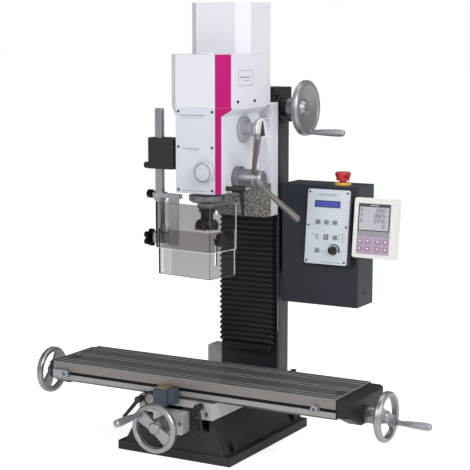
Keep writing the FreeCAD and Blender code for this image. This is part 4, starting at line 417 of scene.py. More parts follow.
box_paint = finish("box_paint", srgb(40, 46, 54), 0.4, vary=0.06, bump=0.03, bump_scale=600, specular=0.35)
panel_print = finish("panel_print", srgb(206, 212, 219), 0.45, vary=0.015, bump=0.004)
ground_iron = finish(
    "ground_iron", srgb(190, 186, 181), 0.42, metal=0.45, vary=0.1, vary_scale=6, rough_vary=0.1, bump=0.015,
    bump_scale=60, stretch=(1, 18, 18), specular=0.3,
)
# Painted highlight: a light colour for the table's slot edges and rim, standing for the light that these edges
# catch.
iron_edge_highlight = finish("iron_edge_highlight", srgb(196, 193, 190), 0.42, metal=0.1, vary=0.12, vary_scale=8, bump=0.004)
turned_aluminium = finish(
    "turned_aluminium", srgb(160, 160, 163), 0.36, metal=0.9, vary=0.04, rough_vary=0.06, bump=0.004,
    bump_scale=1500,
)
satin_aluminium = finish(
    "satin_aluminium", srgb(160, 161, 167), 0.4, metal=0.8, vary=0.04, rough_vary=0.05, bump=0.006,
    bump_scale=1200,
)
steel = finish(
    "steel", srgb(142, 142, 146), 0.38, metal=0.85, vary=0.06, rough_vary=0.07, bump=0.006, bump_scale=1300,
)
dark_steel = finish("dark_steel", srgb(58, 56, 56), 0.34, metal=0.7, vary=0.12, bump=0.01, bump_scale=900)
chrome = finish("chrome", srgb(176, 177, 182), 0.16, metal=1.0, vary=0.01, rough_vary=0.02, bump=0)
lever_grey = finish("lever_grey", srgb(140, 134, 130), 0.38, metal=0.7, vary=0.05, bump=0.006)
bronze = finish("bronze", srgb(196, 158, 92), 0.3, metal=1.0, vary=0.08)
brass_plate = finish("brass_plate", srgb(198, 170, 96), 0.36, metal=0.9, vary=0.2, vary_scale=300)
insert_gold = finish("insert_gold", srgb(206, 158, 60), 0.25, metal=0.9, vary=0.06)
stop_red = finish("stop_red", srgb(190, 18, 28), 0.28, vary=0.04, bump=0.004, coat=0.4)
stop_yellow = finish("stop_yellow", srgb(232, 176, 62), 0.34, vary=0.04, bump=0.004, coat=0.2)
cream_plastic = finish("cream_plastic", srgb(230, 227, 220), 0.44, vary=0.015, bump=0.02, bump_scale=1100)
key_purple = finish("key_purple", srgb(158, 120, 150), 0.5, vary=0.03, bump=0.004)
pad_purple = finish("pad_purple", srgb(176, 160, 178), 0.5, vary=0.02, bump=0.004)
screen_grey = finish("screen_grey", srgb(186, 186, 194), 0.3, vary=0.02, bump=0)
screen_ink = finish("screen_ink", srgb(60, 60, 66), 0.4, vary=0.02, bump=0)
screen_blue = finish("screen_blue", srgb(62, 70, 160), 0.22, vary=0.08, vary_scale=60, bump=0)
print_grey = finish("print_grey", srgb(120, 124, 130), 0.5, vary=0.05, bump=0)
print_dark = finish("print_dark", srgb(52, 54, 60), 0.5, vary=0.05, bump=0)
print_white = finish("print_white", srgb(232, 232, 234), 0.5, vary=0.02, bump=0)
key_grey = finish("key_grey", srgb(140, 146, 152), 0.5, vary=0.03, bump=0.004)
board_green = finish("board_green", srgb(40, 110, 60), 0.5, vary=0.1)
motor_paint = finish("motor_paint", srgb(90, 94, 100), 0.45, vary=0.05)
sensor_grey = finish("sensor_grey", srgb(58, 70, 80), 0.45, vary=0.05, bump=0.02)
lead_rubber = finish("lead_rubber", srgb(30, 28, 30), 0.5, vary=0.05, bump=0.01)
carriage_paint = finish(
    "carriage_paint", srgb(219, 221, 227), 0.46, vary=0.02, bump=0.12, bump_scale=320,
    zones=[(((1, -1, 0.1245), (2, 0, 0.567)), srgb(72, 68, 64), (srgb(170, 164, 156), 210))],
)
table_top_iron = finish(
    "table_top_iron", srgb(98, 95, 97), 0.36, metal=0.35, vary=0.16, vary_scale=5, rough_vary=0.08, bump=0.01,
    bump_scale=60, stretch=(1, 22, 22), specular=0.25,
    zones=[
        (((1, -1, -0.1630), (2, 0.148, 1)), srgb(134, 128, 123)),
        (((1, -1, -0.1630), (2, 0, 0.148)), srgb(158, 153, 149)),
        # Painted shade: the T-slot groove in the front face is coloured near black to stand for the shade inside
        # it.
        (((1, -1, -0.1590), (2, 0.1446, 0.1513)), srgb(16, 15, 15)),
    ],
)
arm_metal = finish(
    "arm_metal", srgb(172, 173, 181), 0.36, metal=0.6, vary=0.04, bump=0.006, bump_scale=1200,
    zones=[
        (((0, -1, -0.1205),), srgb(14, 14, 15)),
        (((0, -0.0705, -0.0310), (1, -0.0930, -0.0780), (2, 0.430, 0.535)), srgb(232, 234, 238)),
    ],
)
selector_steel = finish(
    "selector_steel", srgb(168, 170, 174), 0.36, metal=0.35, vary=0.05,
    zones=[(((0, 0.1025, 0.1042),), srgb(240, 240, 242)), (((0, 0.1042, 1),), srgb(44, 46, 52))],
)
dial_face = finish("dial_face", srgb(206, 208, 213), 0.4, metal=0.15, vary=0.04, bump=0.006, bump_scale=1200)
junction_grey = finish("junction_grey", srgb(150, 152, 156), 0.5, vary=0.05, bump=0.03, bump_scale=500)
print("finishes:", len(bpy.data.materials))

# %% [markdown]
# ### Smoked clear sheet
# The guard is a smoked polycarbonate: light goes through and loses about half on the way.


# %% Clear sheet
def clear_sheet(name, tint, rough, solid_zone=None, light_zone=None):
    material = bpy.data.materials.new(name)
    material.use_nodes = True
    nodes, links = material.node_tree.nodes, material.node_tree.links
    shader = nodes["Principled BSDF"]
    shader.inputs["Transmission Weight"].default_value = 1.0
    shader.inputs["IOR"].default_value = 1.2
    shader.inputs["Specular IOR Level"].default_value = 0.5
    where = nodes.new("ShaderNodeTexCoord")
    haze = nodes.new("ShaderNodeTexNoise")
    haze.inputs["Scale"].default_value = 30
    links.new(where.outputs["Object"], haze.inputs["Vector"])
    colour = nodes.new("ShaderNodeMix")
    colour.data_type = "RGBA"
    colour.inputs["A"].default_value = [c * 0.98 for c in tint] + [1]
    colour.inputs["B"].default_value = [min(c * 1.02, 1) for c in tint] + [1]
    links.new(haze.outputs["Fac"], colour.inputs["Factor"])
    if light_zone:
        inside = zone_mask(nodes, links, where.outputs["Object"], light_zone)
        smoked, colour = colour, nodes.new("ShaderNodeMix")
        colour.data_type = "RGBA"
        links.new(inside, colour.inputs["Factor"])
        links.new(smoked.outputs["Result"], colour.inputs["A"])
        colour.inputs["B"].default_value = (0.94, 0.95, 0.96, 1)
    links.new(colour.outputs["Result"], shader.inputs["Base Color"])
    roughness = nodes.new("ShaderNodeMapRange")
    roughness.inputs["To Min"].default_value = rough
    roughness.inputs["To Max"].default_value = rough + 0.03
    links.new(haze.outputs["Fac"], roughness.inputs["Value"])
    links.new(roughness.outputs["Result"], shader.inputs["Roughness"])
    if solid_zone:
        inside = zone_mask(nodes, links, where.outputs["Object"], solid_zone)
        clear = nodes.new("ShaderNodeMath")
        clear.operation = "SUBTRACT"
        clear.inputs[0].default_value = 1.0
        links.new(inside, clear.inputs[1])
        links.new(clear.outputs[0], shader.inputs["Transmission Weight"])
        dark = nodes.new("ShaderNodeMix")
        dark.data_type = "RGBA"
        links.new(inside, dark.inputs["Factor"])
        links.new(colour.outputs["Result"], dark.inputs["A"])
        dark.inputs["B"].default_value = (0.02, 0.02, 0.022, 1)
        links.new(dark.outputs["Result"], shader.inputs["Base Color"])
    return material


KNOB_ZONE = ((0, 0.0797, 1), (1, -1, -0.100), (2, 0.452, 0.488))
LEFT_WALL_ZONE = ((0, -0.082, -0.030), (1, -0.1225, -0.02))
smoked_sheet = clear_sheet("smoked_sheet", (0.56, 0.53, 0.52), 0.0, KNOB_ZONE, LEFT_WALL_ZONE)

# %% [markdown]
# ## The pieces of the design
# Each node gets its finish. Its triangles are joined and flat areas merged by modifiers, so that a narrow
# bevel can run along each edge: real edges are never knife sharp, and the light that they catch draws the
# shape.


# %% Dress the nodes
def soften(piece, width, angle=32):
    """Joins the triangles, merges flat areas, bevels what is sharper than the angle, and shades the rest smooth."""
    weld = piece.modifiers.new("join triangles", "WELD")
    weld.merge_threshold = 2e-6
    flat = piece.modifiers.new("merge flat areas", "DECIMATE")
    flat.decimate_type = "DISSOLVE"
    flat.angle_limit = math.radians(0.4)
    edge = piece.modifiers.new("round edges", "BEVEL")
    edge.width = width
    edge.segments = 2
    edge.limit_method = "ANGLE"
    edge.angle_limit = math.radians(angle)
    edge.use_clamp_overlap = False
    edge.harden_normals = False
    shade = piece.modifiers.new("even shading", "WEIGHTED_NORMAL")
    shade.keep_sharp = False


NODE_FINISH = {
    "base": (base_paint, 1.2), "column": (column_paint, 1.0), "column_bolts": (dark_steel, 0.3),
    "top_housing": (black_casting, 0.8), "bellows_clamp": (black_casting, 0.4),
    "y_bracket": (ground_iron, 0.6),
    "junction_box": (junction_grey, 0.2), "control_box": (box_paint, 0.6), "panel_plate": (panel_print, 0.3),
    "control_board": (board_green, 0.2), "estop_ring": (stop_yellow, 0.3), "estop_button": (stop_red, 0.4),
    "speed_knob": (black_plastic, 0.3), "readout_housing": (cream_plastic, 1.2),
    "readout_screen": (pad_purple, 0.2), "z_wheel": (turned_aluminium, 0.5), "z_shaft": (steel, 0.4),
    "z_screw": (steel, 0.3), "z_grip": (satin_aluminium, 0.2), "carriage": (carriage_paint, 0.9),
    "z_nut": (bronze, 0.4), "tilt_scale": (casting_paint, 0.3), "head_casting": (casting_paint, 1.0),
    "front_plate": (plate_print, 0.3), "lower_cover": (cover_paint, 0.7), "upper_cover": (cover_paint, 0.7),
    "drawbar_cap": (cover_paint, 0.4), "cover_screws": (dark_steel, 0.15), "motor": (motor_paint, 0.6),
    "motor_gear": (steel, 0.15), "spindle_gear": (steel, 0.15), "quill": (steel, 0.4),
    "spindle": (steel, 0.3),
    "arbor": (dark_steel, 0.3), "feed_hub": (steel, 0.5), "feed_levers": (lever_grey, 0.2),
    "depth_dial": (dial_face, 0.4), "gear_knob": (selector_steel, 0.5), "quill_lock": (black_plastic, 0.3),
    "guard_block": (black_ridged, 0.6), "guard_post": (chrome, 0.3), "guard_arm": (arm_metal, 0.4),
    "saddle": (ground_iron, 0.8), "saddle_lock_left": (black_plastic, 0.3),
    "saddle_lock_right": (black_plastic, 0.3),
    "table": (table_top_iron, 0.5), "end_brackets": (black_casting, 1.0),
    "table_stops": (satin_aluminium, 0.4),
    "x_screw": (steel, 0.4), "x_wheels": (turned_aluminium, 0.5), "x_grip": (satin_aluminium, 0.2),
    "y_screw": (steel, 0.4), "y_wheel": (turned_aluminium, 0.5), "y_grip": (satin_aluminium, 0.2),
    "guard_upper": (smoked_sheet, 0.4), "guard_lower": (smoked_sheet, 0.4),
    "sensor_block": (sensor_grey, 0.5),
    "sensor_lead": (lead_rubber, 0.0), "face_mill": (dark_steel, 0.3), "bellows": (bellows_cloth, 0.4),
}


def dress(node, material, width):
    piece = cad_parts[node]
    piece.data.materials.clear()
    piece.data.materials.append(material)
    if width:
        soften(piece, width * MM)


for node_name, (node_material, edge_width) in NODE_FINISH.items():
    dress(node_name, node_material, edge_width)
print("undressed nodes:", sorted(set(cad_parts) - set(NODE_FINISH)))

# %% [markdown]
# ## Bellows
# The bellows hang under the carriage. Their outline is a box, and their size swings
# in and out with height: with pitch p, the outline grows by -d |2 frac(z / p) - 1|, a triangle wave of depth
# d.

# %% Bellows
BELLOWS_TOP = 0.4927
BELLOWS_FOOT = 0.1903
BELLOWS_FOLDS = 25
BELLOWS_DEPTH = 4.4 * MM
BELLOWS_MIDDLE = Vector((0, 0.1440, 0))
BELLOWS_SIZE = (0.140, 0.010)


def fold_levels(low, high, folds, depth, lip=0.6 * MM):
    """(grow, height) pairs of a triangle wave; each crest is a short flat lip, so that it catches the light."""
    pitch = (high - low) / folds
    levels = [(-depth, low)]
    for fold in range(folds):
        crest = low + (fold + 0.5) * pitch
        levels += [(0, crest - lip), (0, crest + lip), (-depth, low + (fold + 1) * pitch)]
    return levels


bellows = stack_piece(
    "bellows_folds", rounded(2.0 * MM, 3), BELLOWS_SIZE,
    fold_levels(BELLOWS_FOOT, BELLOWS_TOP, BELLOWS_FOLDS, BELLOWS_DEPTH), bellows_cloth, "carriage",
    "rubber_bellows",
    place=Matrix.Translation(BELLOWS_MIDDLE), sharp=25,
)
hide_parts("bellows")
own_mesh(bellows)
print("bellows:", BELLOWS_FOLDS, "folds,", len(bellows.data.vertices), "points")

# %% [markdown]
# ## Coloured stripe
# A film runs down the right front chamfer of the head. It is as wide as the cover's chamfer above, narrows
# over the casting's flare and then follows the thin chamfer down to the foot.


# %% Stripe
def ribbon(name, left, right, lift, material, body, slot):
    """A film between two edge lines: the surface L(t) + s (R(t) - L(t)), raised by lift along its own normal."""
    left, right = np.array(left, float) * MM, np.array(right, float) * MM
    share = np.linspace(0, 1, 3)[None, :, None]
    under = left[:, None, :] * (1 - share) + right[:, None, :] * share
    along = np.gradient(under, axis=0)
    across = np.gradient(under, axis=1)
    normal = np.cross(across, along)
    normal /= np.linalg.norm(normal, axis=2, keepdims=True)
    over = under + normal * lift * MM
    under = under - normal * 0.05 * MM
    rows, columns = under.shape[:2]
    points = np.concatenate([under.reshape(-1, 3), over.reshape(-1, 3)])
    half = rows * columns
    faces = []
    for row in range(rows - 1):
        for column in range(columns - 1):
            a = row * columns + column
            quad = [a, a + 1, a + columns + 1, a + columns]
            faces += [quad[::-1], [corner + half for corner in quad]]
    rim = [row * columns for row in range(rows)] + [(rows - 1) * columns + c for c in range(1, columns)]
    rim += [row * columns + columns - 1 for row in range(rows - 2, -1, -1)] + list(range(columns - 2, 0, -1))
    for first, after in zip(rim, rim[1:] + rim[:1]):
        faces.append([first, after, after + half, first + half])
    return make_piece(name, points, faces, material, body, slot)


ribbon(
    "stripe_cover", [(49, -83, z) for z in (744.4, 800, 857)], [(74, -58, z) for z in (744.4, 800, 857)],
    0.25,
    stripe_film, "head", "white_paint",
)
ribbon(
    "stripe_casting",
    [(49.1, -80, 560.4), (49.1, -80, 725.6), (49.1, -80, 739.8), (49.1, -80, 743.8)],
    [(57, -70, 560.4), (57, -70, 725.6), (74, -55, 739.8), (74, -55, 743.8)], 0.25,
    stripe_film, "head", "white_paint",
)
ribbon(
    "stripe_plate_edge", [(49, -82.9, z) for z in (560.4, 650, 743.8)],
    [(49, -80.1, z) for z in (560.4, 650, 743.8)],
    0.2, stripe_film, "head", "white_paint",
)
print("stripe: 3 films")

# %% [markdown]
# ## Printing
# Print is thin raised shapes: bars, dots and rings a tenth of a millimetre high. No words or marks are drawn.
# Where the machine has lettering there is a plain line, and the readout shows axis letters and digits made of
# strokes.


# %% Print helpers
def shift(place, x, y, z=0.0, turn=0.0):
    """A place moved by millimetres in its own axes and turned about its own normal by degrees."""
    return place @ Matrix.Translation((x * MM, y * MM, z * MM)) @ Matrix.Rotation(math.radians(turn), 4, "Z")


def bars(name, place, spots, material, body, slot, height=0.12, corner=0.2):
    """Rectangles: each spot is (x, y, width, height, turn) in millimetres and degrees on the face."""
    points, faces = [], []
    for x, y, width, tall, turn in spots:
        outline = rounded(corner * MM, 3)
        rings = stacked(outline, (width * MM, tall * MM), [(0, -0.05 * MM), (0, height * MM)])
        rows, columns = rings.shape[:2]
        matrix = np.array(shift(place, x, y, 0, turn))
        start = sum(len(block) for block in points)
        points.append(rings.reshape(-1, 3) @ matrix[:3, :3].T + matrix[:3, 3])
        lids = [list(range(columns))[::-1], list(range(columns, 2 * columns))]
        faces += [[corner_ + start for corner_ in face] for face in grid_faces(rows, columns) + lids]
    return make_piece(name, np.concatenate(points), faces, material, body, slot)


def line_spots(lines, width):
    """Bars along straight strokes (x0, y0, x1, y1)."""
    spots = []
    for x0, y0, x1, y1 in lines:
        length = math.hypot(x1 - x0, y1 - y0) + width
        spots.append(
            ((x0 + x1) / 2, (y0 + y1) / 2, length, width, math.degrees(math.atan2(y1 - y0, x1 - x0))),
        )
    return spots


def frame_lines(x, y, width, tall):
    """The four sides of a rectangle, as strokes."""
    left, right, low, high = x - width / 2, x + width / 2, y - tall / 2, y + tall / 2
    return [
        (left, low, right, low), (right, low, right, high), (right, high, left, high), (left, high, left, low),
    ]


def dots(name, place, spots, radius, height, material, body, slot):
    """Discs of one radius at (x, y) spots, with a rounded top edge."""
    edge = min(0.3, height / 2)
    levels = [(0, -0.05 * MM), (0, (height - edge) * MM), (-edge * MM, height * MM)]
    places = [shift(place, x, y) for x, y in spots]
    return several(name, circle(20), radius * MM, levels, material, body, slot, places)


def ring_sector(name, place, radii, degrees, height, material, body, slot, taper=1.0, count=40):
    """A flat arc: r from r0 to r0 + (r1 - r0) w(t), with the width w growing from taper to 1 along the arc."""
    turn = np.radians(np.linspace(degrees[0], degrees[1], count))
    width = (radii[1] - radii[0]) * np.linspace(taper, 1, count)
    inner, outer = np.full(count, radii[0]), radii[0] + width
    section = [(inner, -0.05), (outer, -0.05), (outer, height), (inner, height)]
    loop = np.array([
        np.column_stack([radius * np.cos(turn), radius * np.sin(turn), np.full(count, z)])
        for radius, z in section
    ]).transpose(1, 0, 2) * MM
    faces = grid_faces(count, 4)
    closed = abs(degrees[1] - degrees[0]) >= 359.9
    if not closed:
        faces += [[3, 2, 1, 0], [(count - 1) * 4 + corner for corner in range(4)]]
    return make_piece(name, loop, faces, material, body, slot, place)


def sloped_face(middle_x, foot_y, foot_z, tilt):
    """The front of a face that leans back by tilt degrees: X across, Y up the slope, Z out of it."""
    lean = math.radians(tilt)
    return placing((middle_x * MM, foot_y * MM, foot_z * MM), (1, 0, 0), (0, -math.cos(lean), math.sin(lean)))


# %% [markdown]
# ### The control panel
# A blue display, three rows of keys, lamps, and a scale that thickens round the speed knob.

# %% Control panel
PANEL = sloped_face(203.5, 138.0, 391.3, 6.5)
KNOB_SPOT = (18.0, 32.0)

dots(
    "panel_screws", PANEL, [(x, y) for x in (-46.5, 46.0) for y in (6.5, 85.4, 160.5)], 2.4, 0.9, dark_steel,
    "frame",
    "steel",
)
bars(
    "panel_display_rim", PANEL, [(-2, 134.4, 63, 15.5, 0)], print_dark, "frame", "screen", height=0.2,
    corner=0.6,
)
bars(
    "panel_display", PANEL, [(-2, 134.4, 60, 12.5, 0)], screen_blue, "frame", "screen", height=0.45,
    corner=0.4,
)
bars(
    "panel_display_dots", PANEL, [(-27 + 3.4 * k, y, 2.2, 2.6, 0) for k in range(15) for y in (131.6, 137.0)],
    finish("display_dots", srgb(92, 104, 196), 0.3, vary=0.05, bump=0), "frame", "screen", height=0.5,
    corner=0.1,
)
bars(
    "panel_title_lines", PANEL, [(-2, 156, 52, 1.3, 0), (-2, 152.4, 42, 0.7, 0)], print_grey, "frame",
    "panel_print",
)
KEY_SPOTS = [(-23.3, 93.6), (-2.4, 93.8), (18.6, 94.0), (20.7, 60.6), (-21.7, 29.8)]
bars(
    "panel_keys", PANEL, [(x, y, 12.2, 10.4, 0) for x, y in KEY_SPOTS], key_grey, "frame", "panel_print", 0.5,
    1.2,
)
bars(
    "panel_key_marks", PANEL,
    [
        (x + dx, y + dy, 4.2, 1.1, turn)
        for x, y in KEY_SPOTS for dx, dy, turn in ((0, 2, 0), (-2, -1.5, 40), (2, -1.5, 90))
    ],
    print_dark, "frame", "panel_print", height=0.6,
)
bars(
    "panel_stop_key", PANEL, [(-1.5, 61, 11.5, 11, 0)], print_dark, "frame", "panel_print", height=0.5,
    corner=1.2,
)
ring_sector(
    "panel_stop_ring", shift(PANEL, -1.5, 61, 0.5), (2.2, 3.5), (0, 360), 0.15, print_white, "frame",
    "panel_print",
)
ring_sector(
    "panel_start_ring", shift(PANEL, -23.7, 60.5), (5.2, 6.1), (25, 335), 0.15, print_grey, "frame",
    "panel_print",
)
bars(
    "panel_start_arrow", PANEL,
    line_spots([(-23.7, 56.8, -23.7, 63.8), (-23.7, 63.8, -25.6, 61), (-23.7, 63.8, -21.8, 61)], 1.3),
    print_dark, "frame", "panel_print",
)
dots(
    "panel_lamps", PANEL, [(-34, 66.5), (31.5, 66.5), (31.5, 57), (39, 68.5), (39, 61), (39, 53.5)], 1.3, 0.5,
    print_dark,
    "frame", "panel_print",
)
ring_sector(
    "panel_lamp_symbol", shift(PANEL, -6.6, 29), (2.4, 3.1), (-60, 240), 0.15, print_grey, "frame",
    "panel_print",
)
ring_sector(
    "panel_speed_scale", shift(PANEL, *KNOB_SPOT), (12.2, 17.0), (165, -15), 0.15, print_dark, "frame",
    "panel_print",
    taper=0.18,
)
bars("panel_foot_line", PANEL, [(12, 4.8, 50, 1.0, 0)], print_grey, "frame", "panel_print")
print("control panel: keys", len(KEY_SPOTS) + 2)

# %% [markdown]
# ### The position readout
# A grey screen in a dark frame shows three axis values; eight keys lie below it.

# %% Readout screen
READOUT = sloped_face(321.5, 126.0, 415.0, 7.0)
SEGMENTS = {
    "a": (0, 1, 1, 1), "b": (1, 0.5, 1, 1), "c": (1, 0, 1, 0.5), "d": (0, 0, 1, 0), "e": (0, 0, 0, 0.5),
    "f": (0, 0.5, 0, 1), "g": (0, 0.5, 1, 0.5),
}
DIGITS = {
    "0": "abcdef", "1": "bc", "2": "abged", "3": "abgcd", "4": "fgbc", "5": "afgcd", "6": "afgedc",
    "7": "abc",
    "8": "abcdefg", "9": "abcdfg",
}
LETTERS = {
    "X": [(0, 0, 1, 1), (0, 1, 1, 0)], "Y": [(0, 1, 0.5, 0.5), (1, 1, 0.5, 0.5), (0.5, 0.5, 0.5, 0)],
    "Z": [(0, 1, 1, 1), (1, 1, 0, 0), (0, 0, 1, 0)],
}


def strokes_of(text, x, y, wide, tall, step):
    """Strokes of a row of digits and axis letters whose left foot is at (x, y)."""
    lines = []
    for sign in text:
        if sign == ".":
            lines.append((x - step * 0.2, y, x - step * 0.2 + 0.3, y))
            continue
        shapes = LETTERS.get(sign) or [SEGMENTS[part] for part in DIGITS[sign]]
        lines += [(x + a * wide, y + b * tall, x + c * wide, y + d * tall) for a, b, c, d in shapes]
        x += step
    return lines


bars(
    "readout_frame_dark", READOUT, [(0, 89.5, 75, 60, 0)], screen_ink, "frame", "screen", height=0.15,
    corner=0.6,
)
bars(
    "readout_glass", READOUT, [(0, 87.0, 69.5, 50.5, 0)], screen_grey, "frame", "screen", height=0.3,
    corner=0.4,
)
readout_lines = []
for row, (axis_name, value) in enumerate((("X", "12.50"), ("Y", "08.25"), ("Z", "03.75"))):
    foot = 102 - 11.5 * row
    readout_lines += strokes_of(axis_name, -32, foot, 4.6, 7.2, 7)
    readout_lines += strokes_of(value, 1, foot, 4.2, 7.2, 6.6)
readout_lines += strokes_of("0", 20.8, 67.0, 4.2, 7.0, 6.6)
readout_lines += [(29.5, 105.6 - 11.5 * row, 33, 105.6 - 11.5 * row) for row in range(3)]
bars("readout_digits", READOUT, line_spots(readout_lines, 1.05), screen_ink, "frame", "screen", height=0.4)
bars(
    "readout_top_mark", READOUT, [(0, 116.0, 20, 1.2, 0)], print_white, "frame", "screen", height=0.3,
)
bars(
    "readout_pad_upper", READOUT, [(0, 53.0, 75, 12.5, 0)],
    finish("pad_grey", srgb(150, 148, 156), 0.5, vary=0.04, bump=0),
    "frame", "screen", height=0.12,
)
bars(
    "readout_keys", READOUT,
    [(x, y, 12.5, 10.5, 0) for x in (-30.5, -12.0, 11.5, 30.0) for y in (20.5, 37.0)],
    key_purple, "frame", "screen", height=0.45, corner=0.9,
)
bars(
    "readout_key_marks", READOUT,
    [(x, y, 5.0, 3.4, 0) for x in (-30.5, -12.0, 11.5, 30.0) for y in (21.0, 37.5)], print_white, "frame",
    "screen",
    height=0.55,
)
print("readout:", len(readout_lines), "strokes")

# %% [markdown]
# ### Head, dial and collars
# The quill dial has a dark rim and graduations. Graduated collars sit behind the handwheels.

# %% Head print, dial, selector and collars
FRONT_PLATE = placing((0, -0.083, 0), (1, 0, 0), (0, -1, 0))
COVER_SIDE = placing((0.074, 0, 0), (0, 1, 0), (1, 0, 0))
bars(
    "plate_lines", FRONT_PLATE,
    [(-8, 728, 66, 1.6, 0), (-8, 722.5, 58, 0.8, 0), (-12, 657, 46, 1.4, 0), (-6, 653, 26, 0.8, 0)],
    print_grey, "head", "white_paint",
)
bars(
    "plate_foot_line", FRONT_PLATE, [(-4, 566, 56, 1.0, 0)], print_grey, "head", "white_paint",
)
bars(
    "cover_label", COVER_SIDE,
    line_spots(frame_lines(5, 806, 62, 32), 0.9) + [(2, 808, 44, 2.2, 0), (12, 801, 26, 1.2, 0)],
    print_grey, "head", "white_paint",
)
DIAL = placing((0.026, -0.0971, 0.608), (1, 0, 0), (0, -1, 0))
ring_sector("dial_rim", DIAL, (18.9, 20.3), (0, 360), 0.12, print_dark, "depth_dial", "polished", count=64)
bars(
    "dial_marks", DIAL,
    [
        (16.6 * math.cos(a), 16.6 * math.sin(a), 3.2 if k % 5 == 0 else 2.0, 0.45, math.degrees(a))
        for k, a in enumerate(np.linspace(0, 2 * math.pi, 40, endpoint=False))
        if abs(math.degrees(a) - 90) > 12
    ],
    print_dark, "depth_dial", "polished",
)


def collar_marks(name, middle, axis, radius, count, length, material, body):
    """Graduations round a collar, each a bar along the collar's own axis."""
    axis = Vector(axis)
    side = axis.orthogonal().normalized()
    points = []
    for k in range(count):
        out = Matrix.Rotation(2 * math.pi * k / count, 3, axis) @ side
        place = placing(Vector(middle) + out * radius * MM, axis, out)
        points.append(shift(place, 0, 0))
    outline = rounded(0.1 * MM, 2)
    levels = [(0, -0.1 * MM), (0, 0.1 * MM)]
    return several(name, outline, (length * MM, 0.5 * MM), levels, material, body, "polished", points)


collar_marks("x_collar_marks", (0.4095, -0.076, 0.126), (1, 0, 0), 18.0, 50, 5.0, print_dark, "x_crank")
collar_marks("y_collar_marks", (0, -0.2085, 0.083), (0, 1, 0), 18.0, 50, 5.0, print_dark, "y_crank")
print("dial and collars marked")

# %% [markdown]
# ## Small fittings
# Bright cutter inserts, the sensor's brass cover, the ground strip on the column's corner, coolant pockets,
# dark borders on the table, screws on the box, painted highlights along the table's slot edges and rim, and
# painted highlights and painted shade along the edges where the clear sheets end.


# %% Small fittings
def block(name, low, high, material, body, slot, place=UPRIGHT, corner=0.3):
    """A box between two corners in millimetres, with small round corners in plan."""
    low, high = np.array(low, float), np.array(high, float)
    size = (high - low)[:2] * MM
    middle = (low + high)[:2] / 2
    spot = place @ Matrix.Translation((middle[0] * MM, middle[1] * MM, low[2] * MM))
    return stack_piece(
        name, rounded(corner * MM, 3), size, [(0, 0), (0, (high[2] - low[2]) * MM)], material, body, slot,
        spot,
    )


MILL = Matrix.Translation((0, -0.035, 0.477))
INSERTS = 5
INSERT_SEAT = (0.0216, 0.0011, -0.0002)
insert_places = [
    MILL @ Matrix.Rotation(2 * math.pi * k / INSERTS, 4, "Z") @ Matrix.Translation(INSERT_SEAT)
    for k in range(INSERTS)
]
several(
    "cutter_inserts", rounded(0.8 * MM, 3), (9.2 * MM, 3.6 * MM), [(0, 0), (0, 9.4 * MM)], insert_gold,
    "spindle", "bronze",
    insert_places,
)
block("sensor_cover", (-38, -194, 153.0), (-6.4, -170.4, 153.5), brass_plate, "saddle", "bronze")
SENSOR_TOP = placing((-0.022, -0.182, 0.1535), (1, 0, 0), (0, 0, 1))
SENSOR_FRONT = placing((-0.022, -0.1951, 0), (1, 0, 0), (0, -1, 0))
dots(
    "sensor_dots", SENSOR_FRONT, [(x, z) for z in (135, 138, 141, 144) for x in (-8, -4, 0, 4)], 0.7, 0.3,
    print_white, "saddle", "steel",
)
dots(
    "sensor_screws", SENSOR_TOP, [(-11, -7), (11, -7), (-11, 7), (11, 7)], 1.7, 0.5, dark_steel, "saddle",
    "steel",
)
block(
    "column_strip", (73.9, 157.8, 222), (74.5, 160.2, 492), satin_aluminium, "frame", "polished", corner=0.1,
)
block(
    "table_pocket_right", (350, -124, 171.95), (372, -88, 172.08), print_dark, "table", "table_iron",
    corner=9,
)
block(
    "table_pocket_left", (-316, -128, 171.95), (-292, -90, 172.08), print_dark, "table", "table_iron",
    corner=9,
)
# Painted highlights: light bars along each T-slot edge and round the table's rim stand for the light that these
# edges catch.
slot_edges = []
for slot_y in (-139, -76, -13):
    for side in (-1, 1):
        middle = slot_y + side * 6.9
        slot_edges.append((25, middle, 696, 2.2, 0))
TABLE_TOP = placing((0, 0, 0.172), (1, 0, 0), (0, 0, 1))
bars(
    "table_border", TABLE_TOP, [(-319, -76, 9, 174, 0), (25, 7.5, 698, 5, 0)], print_dark, "table",
    "table_iron", height=0.06, corner=0.1,
)
bars("slot_edges", TABLE_TOP, slot_edges, iron_edge_highlight, "table", "machined", height=0.08, corner=0.1)
bars(
    "table_rim", TABLE_TOP,
    [
        (25, -163.2, 698, 1.4, 0), (25, 11.3, 698, 1.2, 0), (-324.2, -76, 1.2, 174, 0),
        (374.2, -76, 1.2, 174, 0),
    ],
    iron_edge_highlight, "table", "machined", height=0.08, corner=0.1,
)
BOX_SIDE = placing((0.272, 0, 0), (0, 1, 0), (1, 0, 0))
dots("box_screws", BOX_SIDE, [(206, 322), (206, 536)], 3.4, 1.4, dark_steel, "frame", "steel")
POST_AXIS = Vector((-0.100, -0.067, 0))
GUARD_TURN = math.radians(-8.9)
SWING = (
    Matrix.Translation(POST_AXIS) @ Matrix.Rotation(GUARD_TURN, 4, "Z") @ Matrix.Translation(-POST_AXIS)
)
# Painted highlights and painted shade: opaque near-white and grey strips along the clear sheets' cut edges stand
# for the light and shade seen at those edges.
sheet_edge_highlight = finish("sheet_edge_highlight", srgb(238, 240, 242), 0.3, vary=0.01, bump=0)
sheet_edge_shade = finish("sheet_edge_shade", srgb(96, 96, 98), 0.3, vary=0.02, bump=0)
EDGE_PLAN_CORNER = 0.1
